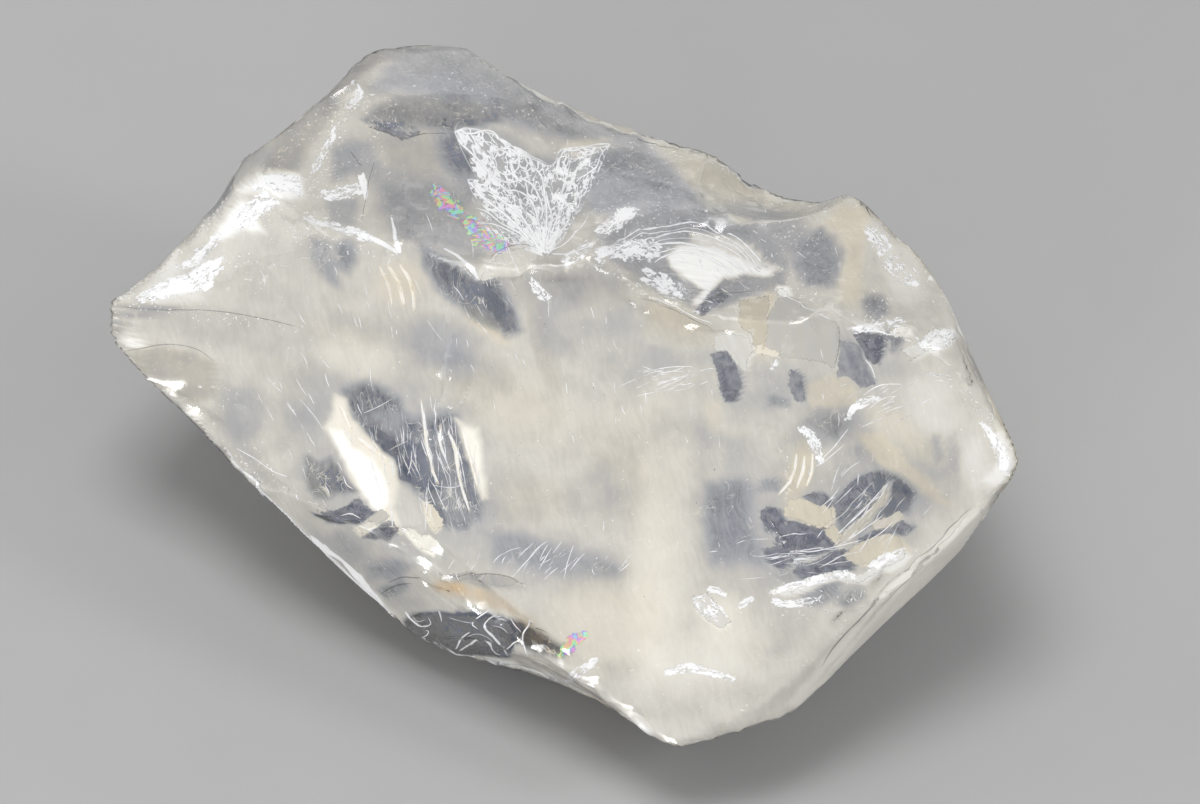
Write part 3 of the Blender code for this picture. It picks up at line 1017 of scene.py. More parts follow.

# The milky layer's patches, one laid over the other, as outlines in pixels of the frame: (softness
# of the edge in pixels, tone, warmth, corners). Plain milk has a tone of 0.5. Lower is clearer,
# below 0 is painted dark shade, and 1 is white. A patch that isn't dark and has a softness of 1 is
# also laid over the layer as a sharp-edged sheet. Some bright patches are painted highlight or
# painted glow, as marked below.
PATCHES = read_rows([
    # Crown and its flank.
    (3, 0.32, 0.55, "404,44 396,56 384,62 362,74 352,88 340,104 326,124 308,150 296,172 270,180 262,170 "
     "268,150 300,115 345,76 362,56 384,46"),
    (6, 0.29, 0.10, "404,46 470,46 540,76 610,118 660,136 640,146 600,142 560,140 500,122 440,100 400,92 "
     "372,96 364,88 380,76 396,58"),
    (8, 0.24, 0.00, "424,74 440,62 470,60 500,74 560,100 570,112 540,108 500,98 450,94"),
    (4, 0.23, 0.85, "366,119 378,104 400,96 450,98 500,108 518,116 500,120 470,125 450,129 420,129 "
     "395,126"),
    (2, 0.14, 0.50, "430,122 470,118 515,116 490,124 450,130 420,129"),
    (1, 0.03, 0.10, "364,122 372,121 395,123 418,126 416,129 400,132 385,130"),
    # Upper left, round the ground of the fan.
    (8, 0.39, 0.45, "372,132 430,130 448,150 440,180 420,186 388,172"),
    (4, 0.32, 0.10, "330,150 345,142 372,142 385,170 378,178 352,174 334,182"),
    (4, 0.34, 0.10, "326,200 358,197 356,226 332,224"),
    (8, 0.30, 0.35, "372,176 440,182 480,190 470,215 490,245 476,262 440,250 400,244 382,220"),
    (7, 0.14, 0.05, "438,134 458,130 476,150 492,172 508,196 480,190 452,172 440,152"),
    (4, 0.34, 0.00, "455,128 502,132 530,150 560,158 602,142 606,165 590,200 566,236 546,258 500,240 "
     "470,190 476,160"),
    (2, 0.56, 0.50, "558,149 570,143 608,140 602,147 590,157 575,158 562,155"),
    # Left shoulder and tip.
    (3, 0.39, 0.00, "250,148 276,146 262,166 240,184 222,210 204,224 196,232 208,204 220,176"),
    (2, 0.48, 0.05, "244,236 300,238 318,250 316,300 300,322 244,312"),
    # Bright patches on the left shoulder: painted highlight, for a lamp's reflection on the shoulder's
    # bowl, over white fractures.
    (3, 0.66, 0.00, "138,301 150,286 168,262 178,260 180,286 198,292 206,301 180,303"),
    (4, 0.70, 0.00, "194,264 206,260 209,290 197,291"),
    (2, 0.92, 0.00, "230,212 242,200 250,204 258,222 265,232 244,228 222,242 213,238"),
    (2, 0.85, 0.05, "234,192 250,178 272,171 300,174 304,198 288,201 262,192 244,196"),
    (5, 0.45, 0.05, "140,306 200,304 240,312 300,325 330,334 316,356 290,362 240,350 200,346 160,330"),
    (2, 0.32, 0.10, "106,322 118,312 150,304 190,303 160,312 124,322 116,334 108,336"),
    (2, 0.86, 0.10, "118,340 130,336 143,334 145,346 130,348"),
    (3, 0.38, 0.65, "124,354 160,346 190,352 214,364 216,392 196,404 168,392 146,374"),
    # Top right.
    (5, 0.25, 0.00, "600,150 640,142 668,165 690,185 704,208 680,214 655,206 640,202 612,216 592,212 "
     "586,180"),
    (6, 0.47, 0.60, "652,142 668,138 735,172 795,205 800,212 770,206 730,200 690,182 668,160"),
    (6, 0.33, 0.10, "690,206 760,206 800,216 812,232 800,262 770,250 735,232 700,216"),
    (4, 0.56, 0.80, "838,206 864,204 872,216 866,240 862,262 866,290 856,308 836,300 842,270 844,250 "
     "836,232 822,224"),
    (3, 0.25, 0.00, "808,238 820,226 836,236 842,256 838,272 832,288 806,286 794,268 796,250"),
    (6, 0.48, 0.10, "872,222 890,232 930,268 950,310 930,326 890,318 866,300 868,262"),
    (4, 0.62, 0.00, "872,226 884,232 896,258 888,266 874,244"),
    (5, 0.58, 0.10, "890,262 916,274 926,296 908,306 888,290"),
    (3, 0.25, 0.05, "862,302 880,296 888,312 878,324 866,318"),
    # The ripple-marked shell.
    (3, 0.30, 0.10, "596,232 640,204 700,206 760,232 790,262 785,288 740,300 720,310 700,313 668,296 "
     "633,276 610,262"),
    (2, 0.66, 0.05, "692,231 720,235 746,247 776,266 779,272 768,270 742,257 716,247 692,242"),
    # The crescent under the ripples: a painted highlight.
    (2, 1.00, 0.08, "667,256 680,247 700,245 720,250 746,262 773,272 768,277 745,275 722,278 714,290 "
     "702,306 694,304 703,291 695,284 680,275 668,266"),
    (1, 0.10, 0.00, "698,310 713,290 722,292 731,296 722,303 708,313"),
    # Under the main ridge.
    (8, 0.37, 0.30, "500,284 540,262 600,262 640,282 600,300 560,306 520,300"),
    (4, 0.13, 0.00, "424,246 450,262 476,280 500,278 508,300 524,330 508,337 470,318 440,290 424,264"),
    # A lit facet under the ridge: painted highlight.
    (1, 0.70, 0.30, "478,279 484,263 500,250 525,245 536,250 536,258 520,270 500,276"),
    (4, 0.30, 0.00, "310,238 328,240 336,262 338,290 326,282 314,262"),
    (4, 0.21, 0.00, "336,244 352,242 356,262 348,274 338,266"),
    (9, 0.36, 0.05, "404,322 446,318 480,340 470,372 430,366 402,350"),
    (12, 0.42, 0.00, "590,296 640,300 652,352 634,396 598,376"),
    # Thin grey clouds round the windows.
    (12, 0.42, -0.05, "330,372 400,366 480,400 500,500 494,560 440,570 400,560 330,520 290,470 300,420"),
    (9, 0.41, 0.05, "300,520 360,530 410,570 424,604 396,614 350,586 312,552"),
    (9, 0.43, 0.00, "486,530 560,534 644,552 640,590 560,596 490,580"),
    (12, 0.42, 0.10, "700,474 760,460 830,462 900,450 930,500 912,556 866,592 780,606 704,580"),
    (9, 0.44, 0.00, "704,336 760,340 850,326 910,340 906,396 860,424 770,424 708,410"),
    # The big windows on the left of the face.
    (5, 0.16, 0.00, "344,388 368,380 385,388 398,400 402,414 430,420 446,412 458,416 468,436 474,470 "
     "482,500 478,516 462,526 440,522 424,500 412,486 400,474 386,462 372,446 358,428 346,412"),
    (2, 0.06, 0.00, "379,441 409,438 423,450 430,470 441,486 424,493 402,477 387,461"),
    (2, 0.08, 0.00, "368,427 380,425 384,438 370,438"),
    (2, 0.08, 0.00, "398,422 416,422 418,432 399,432"),
    (4, 0.28, 0.10, "372,412 392,408 406,418 398,434 380,430"),
    (3, 0.23, 0.00, "440,500 474,504 478,520 462,530 444,526"),
    (3, 0.48, -0.10, "390,486 404,484 420,504 428,530 410,534 396,524"),
    # Glints beside the windows: painted highlights, white in their cores and warm at their fringes.
    (2, 0.78, 0.60, "334,394 344,400 352,420 372,440 394,462 400,480 394,510 402,528 394,534 374,508 "
     "352,480 338,450 326,428 334,418"),
    (2, 1.00, 0.05, "331,430 343,431 351,446 371,460 381,472 388,490 387,505 378,513 369,502 358,482 "
     "345,460 334,444"),
    (1, 0.74, 0.95, "423,502 431,506 439,517 443,526 434,533 427,520"),
    (1, 0.92, 0.50, "402,528 411,530 417,538 430,536 440,550 435,558 420,551 408,540"),
    (3, 0.92, 0.50, "457,421 466,427 478,429 483,450 481,470 487,495 481,498 474,474 466,446"),
    (2, 0.24, 0.40, "306,456 320,461 330,455 340,469 360,491 349,495 330,498 313,500 306,480"),
    (2, 0.14, 0.20, "322,470 334,466 348,484 352,491 336,493 322,490"),
    (1, 0.03, -0.10, "312,512 326,514 344,508 356,498 364,508 374,514 362,523 345,524 328,523"),
    (1, 0.78, 0.20, "361,529 377,517 375,529 364,535"),
    (1, 0.46, 0.30, "363,520 378,512 387,520 372,528"),
    (1, 0.12, 0.50, "365,534 379,527 386,522 397,532 388,540 364,538"),
    (1, 0.72, 0.60, "353,530 366,523 374,530 361,537"),
    (5, 0.33, 0.10, "318,536 344,534 366,548 360,560 336,556"),
    (4, 0.26, 0.05, "366,566 400,559 411,566 404,577 372,579"),
    (2, 0.23, 0.05, "378,590 400,577 411,584 402,593 388,599"),
    (7, 0.37, 0.00, "224,386 250,386 264,400 264,425 254,440 262,470 280,490 255,478 232,450 216,420"),
    # Lower middle, the stain and the dark pocket.
    (6, 0.29, 0.00, "486,534 520,533 560,547 600,556 626,562 626,574 590,579 560,577 530,568 498,566"),
    (1, 0.35, 0.40, "434,580 460,576 500,579 524,588 500,589 450,584"),
    # Painted glow along the lower-left rim, which faces down into shade.
    (2, 0.74, 0.00, "196,436 210,440 262,490 300,528 330,560 360,590 388,610 404,626 404,640 380,636 "
     "350,614 318,584 290,555 250,516 214,476 188,446"),
    # The dark pocket: painted shade, for the dark that the clear crystal shows there.
    (2, -0.18, 0.00, "404,620 412,614 440,612 466,612 490,616 514,619 516,640 508,656 504,664 480,660 "
     "450,662 430,650 412,636"),
    (2, 0.07, 1.00, "512,619 530,624 556,642 570,651 558,658 536,654 514,640"),
    # Painted light on the toe's bevel, which faces down into shade.
    (2, 0.96, 0.00, "396,622 406,632 430,648 460,656 500,655 530,668 560,680 600,702 650,728 650,764 "
     "580,740 520,715 470,700 430,685 385,645"),
    (5, 0.41, 0.10, "604,664 624,656 640,664 628,678 608,676"),
    (10, 0.56, 0.35, "640,470 676,470 680,560 672,640 640,660 632,560"),
    (9, 0.43, 0.10, "566,478 600,466 622,490 600,512 572,506"),
    # Broken facets right of the face.
    (4, 0.45, 0.45, "644,290 700,311 718,330 712,347 680,347 644,332"),
    (4, 0.42, 0.00, "640,344 680,352 716,350 716,364 690,367 640,376"),
    (2, 0.45, 0.10, "696,370 714,364 720,400 705,403 707,432 722,436 718,478 706,486 702,520 697,470"),
    (3, 0.50, 0.50, "704,400 724,401 720,432 706,428"),
    (6, 0.42, 0.00, "722,436 766,440 770,470 760,480 724,478"),
    (1, 0.45, 0.05, "780,298 794,296 842,320 841,346 837,368 826,362 788,356 768,348 770,320"),
    (1, 0.53, 0.90, "742,300 772,295 768,348 758,348 752,332 744,320"),
    (1, 0.80, 0.80, "760,343 772,346 788,352 784,357 770,355 758,353"),
    (1, 0.66, 0.05, "717,335 732,332 752,338 756,348 750,360 748,374 740,366 730,351 716,350"),
    (1, 0.95, 0.10, "776,288 786,288 792,294 790,298 782,294"),
    (4, 0.42, 0.00, "748,364 782,362 794,372 790,404 770,410 752,400"),
    (2, 0.25, 0.00, "770,398 788,400 788,409 768,406"),
    (1, 0.23, 0.05, "794,366 804,376 808,400 800,403 794,384"),
    (2, 0.51, 0.65, "806,384 826,374 850,378 858,392 856,408 810,408"),
    (2, 0.42, 0.30, "808,408 856,408 848,420 836,440 806,420"),
    (4, 0.42, 0.00, "880,366 908,360 930,376 890,385"),
    (1, 0.66, 0.00, "908,349 952,329 960,338 916,360"),
    (3, 0.40, 0.10, "828,452 866,446 886,468 840,482"),
    (2, 0.55, 0.75, "856,434 880,432 928,478 954,510 920,492 890,472 868,452"),
    (2, 0.28, 0.00, "760,480 786,480 780,493 758,492"),
    # Dark spots right of the face.
    (1, 0.15, 0.00, "712,354 728,350 738,364 744,384 738,400 727,402 722,388 718,368"),
    (1, 0.25, 0.05, "842,340 860,344 866,360 878,384 864,388 850,376 838,378 842,360"),
    (1, 0.09, 0.05, "856,330 866,328 872,334 884,332 887,350 878,365 868,358 862,344"),
    (2, 0.21, 0.05, "884,332 898,332 903,340 894,353 886,346"),
    (1, 0.95, 0.05, "926,345 930,334 942,328 954,329 959,336 950,346 936,351"),
    (1, 0.92, 0.30, "896,331 903,325 912,327 911,336 902,337"),
    (6, 0.23, 0.00, "706,484 740,478 752,486 750,512 756,540 764,568 740,562 712,564 704,520"),
    (4, 0.12, -0.10, "834,500 850,486 866,475 882,468 898,476 914,492 908,514 888,522 870,526 860,534 "
     "846,542 838,528 834,512"),
    (1, 0.09, 0.00, "762,512 770,508 780,510 788,522 797,540 790,548 776,544 780,534 770,532 764,524"),
    (1, 0.09, 0.00, "765,550 790,546 800,540 806,547 812,541 830,539 840,546 826,553 800,561 780,569 "
     "767,562"),
    (1, 0.12, 0.00, "800,568 820,562 836,553 848,550 857,566 846,575 826,575 806,581 796,576"),
    (1, 0.11, 0.00, "795,523 812,527 828,530 837,541 828,547 808,548 795,545 789,534"),
    (1, 0.14, -0.10, "836,506 846,490 862,478 880,470 874,488 860,500 846,512 838,518"),
    (1, 0.16, -0.10, "862,540 874,532 890,529 904,521 915,528 906,537 888,534 874,540 862,547"),
    (2, 0.32, 0.40, "776,570 790,568 796,577 790,585 776,579"),
    (1, 0.17, 0.00, "804,498 816,493 828,496 836,508 826,510 812,502"),
    (1, 0.62, 1.10, "788,512 796,502 806,500 818,506 828,507 835,512 834,521 826,528 812,526 800,522 "
     "790,520"),
    (1, 0.60, 1.00, "826,533 836,526 843,534 841,547 832,540"),
    (1, 0.58, 0.90, "846,557 856,548 872,540 890,535 903,539 909,550 896,556 880,560 864,567 850,563"),
    (1, 0.50, 0.55, "841,545 846,533 862,519 874,507 881,499 888,484 892,482 887,502 874,519 862,531 "
     "850,543"),
    (1, 0.58, 0.60, "873,523 890,518 904,511 907,518 892,527 876,531"),
    (3, 0.23, 0.05, "796,592 820,584 842,582 838,594 822,605 806,603"),
    (3, 0.25, 0.05, "842,592 858,588 866,598 850,607 836,605"),
    (1, 0.74, 0.00, "769,595 790,588 812,580 830,574 848,572 857,578 870,572 886,562 906,553 913,556 "
     "900,567 880,575 862,585 850,583 836,579 812,587 792,595 776,598"),
    (1, 0.66, 0.10, "695,600 708,595 716,604 721,612 733,624 722,631 706,621 696,612"),
    (2, 0.37, 0.05, "931,433 940,430 943,460 936,463"),
    (3, 0.41, 0.05, "948,436 958,430 965,450 956,474 948,468"),
    (4, 0.62, 0.00, "960,436 980,440 988,470 974,492 962,470"),
    (2, 0.78, 0.00, "996,412 1007,432 1019,450 1024,472 1008,484 990,488 984,478 1000,460 996,440"),
    # The right bevel, made lighter as painted light, since it faces sideways and down into shade.
    (2, 0.72, 0.30, "986,503 994,522 962,560 920,602 872,644 824,686 800,710 788,702 806,680 850,632 "
     "892,585 930,548 960,522"),
])

# How wide a patch's edge is for each pixel of its softness.
EDGE_WIDTH = 1.7
# Soft clouds over them, in pixels of the frame: (across, down, half length, half width, turn in
# degrees, tone, warmth). A tone above 0 whitens.
CLOUDS = read_places("""
    200,262,60,22,-40,0.04,0
    540,120,80,12,26,-0.03,0.15
    905,262,34,44,35,0.06,0.05
    590,290,60,22,8,-0.04,0.25
    672,318,40,14,25,0,0.35
    400,282,22,28,75,0.08,0.45
    470,372,60,22,20,-0.1,-0.05
    350,330,70,18,10,-0.06,0
    560,330,40,34,30,-0.09,-0.1
    620,470,30,60,0,-0.07,0.1
    820,430,50,22,-30,-0.12,0
    930,480,40,40,40,-0.1,0.05
    680,430,50,24,10,-0.06,-0.05
    300,400,26,50,20,-0.08,0
    520,500,60,26,0,-0.05,0.2
    780,640,40,24,-40,-0.08,0
    484,322,36,11,40,0.1,0.85
    354,355,60,26,30,0.1,0.2
    540,335,70,12,75,-0.04,0.25
    300,540,60,12,42,0.12,0
    368,598,50,12,40,0.14,0
    500,400,90,40,20,0.04,0.3
    600,620,60,60,0,0.05,0.35
    640,440,60,50,0,0.03,0.15
    767,325,44,9,95,0.1,0.75
    792,340,24,16,60,0.08,0.45
    800,470,40,14,105,0.08,0.75
    930,405,46,26,40,0.1,-0.05
    700,660,80,30,-10,0.13,0.15
    655,590,30,90,0,0.09,0.1
    722,618,30,26,40,0.14,0.3
    450,470,8,40,-14,0.08,0.3
    430,450,6,40,-12,0.06,0.3
    860,440,40,20,40,-0.1,0.1
    900,430,60,14,40,0.04,0.4
""")

# Iron stain, in pixels of the frame: (across, down, half length, half width, turn in degrees,
# share).
STAINS = read_places("""
    448,588,20,8,10,0.75
    482,598,34,10,17,0.6
    520,614,22,6,25,0.35
    532,634,24,9,38,0.85
    404,284,20,26,75,0.05
""")

# Plain milk's tone and warmth, and the windows of the hidden sides: how far apart they stand in
# millimetres, the noise that they open at, and how much clearer than milk they are.
MILK_TONE, MILK_WARMTH = 0.5, 0.12
HIDDEN_SIZE, HIDDEN_LEVEL, HIDDEN_TONE = 9.0, 0.20, -0.26


def inner_shell(name, cells, inset, sharpness, lumps, material):
    """A closed shell inset under the chunk's surface, and up to lumps mm deeper by noise.

    Its ridges are rounded off: the lower sharpness is, the more.
    """
    directions, faces = rounded_box(cells)
    radius = chunk_surface(directions, inset, sharpness)[0]
    noise = layered_noise(CENTRE + directions * radius[:, None], 6.0, 61)
    radius = radius - lumps * (0.5 + 0.5 * noise)
    return make_mesh(name, CENTRE + directions * radius[:, None], faces, material)


def patched(across, down):
    """The tone and warmth that the patches give to places in the frame."""
    tone, warmth = np.full(len(across), MILK_TONE), np.full(len(across), MILK_WARMTH)
    for soft, height, warm, corners in PATCHES:
        first, last = np.min(corners, 0) - 2 * soft, np.max(corners, 0) + 2 * soft
        near = (across > first[0]) & (across < last[0]) & (down > first[1]) & (down < last[1])
        inside = outline_depth(across[near], down[near], corners)
        share = smooth_step(-1.0, 1.0, inside / (soft * EDGE_WIDTH))
        tone[near] += (height - tone[near]) * share
        warmth[near] += (warm - warmth[near]) * share
    return tone, warmth


def wavered(pixels, points, seed):
    """Places in the frame, moved by up to a few pixels by coarse and fine noise."""
    return pixels + 2.5 * lattice_noise(points, 2.2, seed) + 2.0 * lattice_noise(points, 0.7, seed + 1)


def milky_veil(cells, inset, material):
    """The milky shell inset under the broken surface, with the values that colour its points.

    A point seen by the camera takes its tone from its place in the frame, moved a little by
    noise. The hidden sides take theirs from noise.
    """
    directions, faces = rounded_box(cells)
    radius, slant, bruise = broken_surface(directions, bpy.context.scene.crystal_skin)
    points = CENTRE + directions * (radius - inset / slant)[:, None]
    _, lowest, _ = chunk_surface(directions)
    facing = -(unit(points - EYE) * surface_normals(points, lowest[:, 0])).sum(1)
    across, down = pixels_of(points)
    across, down = wavered(across, points, 11), wavered(down, points, 17)
    tone, warmth = patched(across, down)
    more_tone, more_warmth = strokes(across, down, CLOUDS)
    lumps = layered_noise(points, HIDDEN_SIZE, 23)
    whiter = smooth_step(0.0, 0.7, layered_noise(points, HIDDEN_SIZE * 0.7, 31))
    warmer = smooth_step(-0.1, 0.6, layered_noise(points, HIDDEN_SIZE, 29))
    opened = HIDDEN_TONE * smooth_step(HIDDEN_LEVEL - 0.4, HIDDEN_LEVEL + 0.5, lumps)
    hidden_tone = MILK_TONE + (opened + 0.22 * whiter)
    hidden_warmth = MILK_WARMTH + warmer * 0.6
    seen = smooth_step(-0.02, 0.12, facing)
    tone = seen * (tone + more_tone) + (1.0 - seen) * hidden_tone
    warmth = seen * (warmth + more_warmth) + (1.0 - seen) * hidden_warmth
    here = 0.5 * smooth_step(0.1, 0.5, layered_noise(points, 4.0, 81))
    bruise = bruise * (1.0 - seen + here * seen)
    grit = rough_shares(0.0)[lowest[:, 0]]
    grit = grit * smooth_step(-0.3, 0.5, layered_noise(points, 3.0, 83))
    rust = strokes(across, down, STAINS)[0] * seen * (0.75 + 0.5 * lattice_noise(points, 0.9, 85))
    values = {
        "tone": tone,
        "warmth": np.clip(warmth, 0.0, 1.0),
        "rust": np.clip(rust, 0.0, 1.0),
        "edge": bruise,
        "grit": grit,
    }
    return make_mesh("milky_veil", points, faces, material, values)


# How far the surface stays above the floor, in millimetres.
FLOOR_GAP = 0.04


class CRYSTAL_OT_skin(Operator):
    """Make the closed glassy surface of the chunk."""

    bl_idname = "crystal.skin"
    bl_label = "Glassy surface"

    def execute(self, context):
        look = context.scene.crystal_skin
        directions, faces = rounded_box(look.cells)
        radius, _, bruise = broken_surface(directions, look)
        points = CENTRE + directions * radius[:, None]
        points[:, 2] = np.maximum(points[:, 2], FLOOR_GAP)
        glass = glassy_skin(look)
        piece = make_mesh("crystal_body", points, faces, glass, {"edge": bruise}, crease=24)
        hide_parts(CHUNK)
        return {"FINISHED"}


class CRYSTAL_OT_clouds(Operator):
    """Make the milky shell and a shell of painted depth shade sealed inside the chunk, and the sharp-edged
    clouds.
    """

    bl_idname = "crystal.clouds"
    bl_label = "Milky and smoky layers"

    def execute(self, context):
        look = context.scene.crystal_clouds
        milky_veil(context.scene.crystal_skin.cells, VEIL_DEPTH, veil_finish(look))
        depth_shade = depth_shade_finish(look)
        # A shell of painted shade deep inside, which the clear windows show as blue-grey depths.
        inner_shell("painted_depth_shade", 60, DEPTH_SHADE_INSET, sharpness=3.0, lumps=1.5, material=depth_shade)
        sharp = [patch for patch in PATCHES if patch[0] == 1 and patch[1] >= 0.0]
        outline_sheets("cloud_shards", sharp, shard_finish(look), SHARD_DEPTH, 0.03)
        return {"FINISHED"}


# The big fracture fan: the pixel it spreads from, and at each angle how many pixels it reaches and
# how much of it is filled in white.
FAN_TIP = (545, 256)
FAN_REACH = read_places("""
    46,26,0.6 54,44,0.5 58,96,0.2 60.5,132,0.4 65,124,0.4 72,119,0.4 79,114,0.3 83,111,0.3 86,99,0.2
    90,98,0.3 98,104,0.4 105,114,0.5 110,128,0.4 113,136,0.3 116,143,0.2 122,156,0.2 126,158,0.3
    129,128,0.4 131,104,0.3 135,112,0.5 139,98,0.4 143,64,0.4 146,84,0.4 149,50,0.4 155,74,0.4
    159,30,0.6
""")

# White broken sheets, as strip_sheets takes them: (strength, path of (across, down, half width)). Those on
# the left shoulder and nose are also painted highlight, for a lamp's reflection there.
HACKLES = read_rows([
    (1, "594,230,4 612,222,9 626,212,10 640,204,4"),
    (0.9, "590,250,6 612,248,12 640,245,18 664,250,10"),
    (0.7, "640,272,10 668,284,13 690,296,6"),
    (0.6, "560,262,4 580,250,8 596,238,8"),
    # Left shoulder: white fracture with painted highlight.
    (1, "226,226,10 250,208,15 270,192,12"),
    (1, "240,184,6 272,178,12 302,184,10"),
    (0.9, "316,194,5 345,190,9 366,186,5"),
    (0.8, "296,212,4 330,224,6 356,232,6 372,238,4"),
    (0.9, "352,76,4 350,92,8 342,106,5"),
    (0.7, "335,120,4 322,145,6 308,172,5"),
    # Nose: white fracture with painted highlight.
    (1, "124,300,4 158,290,11 196,274,13 226,255,7"),
    (0.7, "170,268,5 196,250,9 218,232,7"),
    (0.45, "876,240,8 898,262,14 922,288,12"),
    (0.7, "868,225,6 880,235,9 896,252,6"),
    (0.8, "850,330,6 880,326,6 912,320,6"),
    (0.9, "924,346,4 942,339,10 958,332,5"),
    (0.9, "985,420,4 1002,448,8 1008,474,6"),
    (0.9, "662,678,4 690,672,7 718,678,5 742,684,3"),
    (0.9, "886,397,3 868,401,7 854,412,5 849,423,3"),
    (0.7, "782,358,2 780,364,4 774,370,2"),
    (0.8, "808,430,2 814,442,6 820,450,3"),
    (0.9, "694,602,4 704,606,11 716,614,11 730,624,4"),
    (0.7, "706,590,3 718,594,6 730,600,4"),
    (0.7, "738,612,3 747,606,6 756,600,3"),
    (1, "768,597,2 790,590,5 814,584,6 834,579,4"),
    (1, "834,576,3 848,577,7 858,580,4"),
    (1, "868,572,4 884,564,8 902,556,7 914,552,3"),
    (0.8, "528,276,4 540,290,7 550,300,5"),
    (0.7, "800,425,4 815,440,8 824,470,5"),
    (0.8, "772,604,4 800,606,6 822,600,3"),
    (0.6, "560,690,4 585,672,7 600,660,5"),
])

# Lit facets, nearly smooth and white, in the same way.
FACETS = read_rows([
    (1, "440,246,1 458,256,2 470,268,3 478,279,1"),
    (1, "354,231,1 374,238,3 394,250,2"),
    (1, "388,213,1 391,230,2 394,250,3"),
    (1, "357,171,4 362,184,4 362,199,1"),
    (0.9, "304,534,1 318,548,4 338,563,2 354,579,4 372,600,4 386,611,1"),
    # These rows along the lower-left rim and toe are painted glow on bevels that lie in shade.
    (0.8, "196,438,1 214,456,4 240,480,6 258,504,5 280,522,6 304,552,5 326,572,6 352,600,5 378,620,5 "
     "404,634,1"),
    (0.7, "420,654,1 450,666,3 486,672,4 520,684,4 556,704,3 584,720,1"),
])

# Painted glints: warm highlights beside the windows, laid on as colour, with feathered sides, in the same
# way.
GLINTS = read_rows([
    (0.6, "384,262,2 396,280,3 402,306,2"),
    (0.6, "394,258,1 408,280,3 412,312,2"),
    (0.5, "376,262,1 386,284,2 390,306,1"),
    (0.7, "800,452,1 799,468,2 792,486,2 782,500,1"),
    (0.7, "807,454,1 806,474,2 800,492,1"),
    (0.7, "815,452,1 814,472,2 808,490,1"),
    (0.7, "419,396,1 423,427,2 424,450,2 429,470,2 438,490,1"),
    (0.7, "434,424,1 437,444,2 444,462,1"),
    (0.7, "444,428,1 453,450,3 457,479,2 464,503,2 470,518,1"),
    (0.7, "459,423,1 464,444,2 471,470,2 477,492,1"),
    (0.6, "370,440,1 377,452,2 384,466,1"),
    (0.6, "336,402,1 342,414,3 350,430,1"),
    (0.6, "352,436,1 366,446,3 388,462,1"),
])

# Films with rainbow colours, in the same way.
RAINBOW = read_rows([
    (1, "428,182,6 444,200,14 466,218,7"),
    (1, "462,214,6 482,234,18 510,248,7"),
    (1, "556,664,4 566,654,10 574,645,9 590,636,4"),
])

# Nested ripples of the shell-shaped fracture: their outermost path, the point they close in on,
# how many there are and how much smaller each is than the one outside it.
RIPPLE_PATH = [(612, 240), (634, 226), (668, 219), (704, 222), (742, 236), (778, 270)]
RIPPLE_MIDDLE = (702, 296)
RIPPLE_COUNT, RIPPLE_STEP = 7, 0.072


class CRYSTAL_OT_fractures(Operator):
    """Make the fan, the torn white fractures, the lit facets and the ripple arcs."""

    bl_idname = "crystal.fractures"
    bl_label = "White fractures"

    def execute(self, context):
        white = tuple(context.scene.crystal_fractures.white)
        net = broken_finish("fan_finish", white, 0.70, 0.030, 0.10, (0.6, 1.0, 1.0))
        fan_sheet("fracture_fan", FAN_TIP, FAN_REACH, net, FRACTURE_DEPTH, 0.02)
        torn = broken_finish("hackle_finish", white, 0.50, 0.035, 0.62, (0.4, 1.0, 1.0))
        strip_sheets("white_hackles", HACKLES, torn, FRACTURE_DEPTH, rough=0.02, width=1.6)
        strip_sheets("lit_facets", FACETS, facet_finish(white), FACET_DEPTH, width=1.6)
        step = plain_finish("ripple_finish", white)
        strip_sheets("ripple_arcs", self.arcs(), step, FRACTURE_DEPTH, columns=3)
        return {"FINISHED"}

    def arcs(self):
        """The ripples as strips, each smaller than the last, and every other one wider."""
        draw = np.random.default_rng(4)
        arcs = []
        middle = np.array(RIPPLE_MIDDLE)
        for step in range(RIPPLE_COUNT):
            smaller = 1.0 - RIPPLE_STEP * step
            path = middle + (np.array(RIPPLE_PATH) - middle) * smaller
            path = path + draw.normal(size=path.shape) * 0.8
            width = draw.uniform(0.5, 1.3, len(path)) * (1.0 if step % 2 else 1.5)
            arcs.append((draw.uniform(0.75, 1.0), np.column_stack([path, width])))
        return arcs


class CRYSTAL_OT_glints(Operator):
    """Make the warm glints beside the windows: painted highlights."""

    bl_idname = "crystal.glints"
    bl_label = "Warm glints"

    def execute(self, context):
        glint = tuple(context.scene.crystal_fractures.glint)
        white = tuple(context.scene.crystal_fractures.white)
        feathered = glint_finish(white, glint)
        strip_sheets("cream_glints", GLINTS, feathered, GLINT_DEPTH, width=2.0)
        return {"FINISHED"}


class CRYSTAL_OT_films(Operator):
    """Make the rainbow films."""

    bl_idname = "crystal.films"
    bl_label = "Rainbow films"

    def execute(self, context):
        strip_sheets("rainbow_films", RAINBOW, self.rainbow(), FILM_DEPTH)
        return {"FINISHED"}

    def rainbow(self):
        """Patches of spectral colour, in bands that follow clouds of film thickness."""
        film = Recipe("rainbow_finish")
        bands = film.maths("FRACT", film.maths("MULTIPLY", film.noise(1.1, 2.0, 0.5, 0.6), 5.0))
        hue = add_node(film.tree, "CombineColor", {"Red": bands}, mode="HSV")
        hue.inputs["Green"].default_value = 0.52
        hue.inputs["Blue"].default_value = 0.95
        patch = film.span(film.noise(0.45, 2.0), 0.36, 0.64, -0.4, 0.4)
        opaque = film.span(film.maths("ADD", film.value("fade"), patch), 0.55, 0.85, 0.0, 0.85)
        return film.matt({"Base Color": hue.outputs["Color"], "Alpha": opaque})


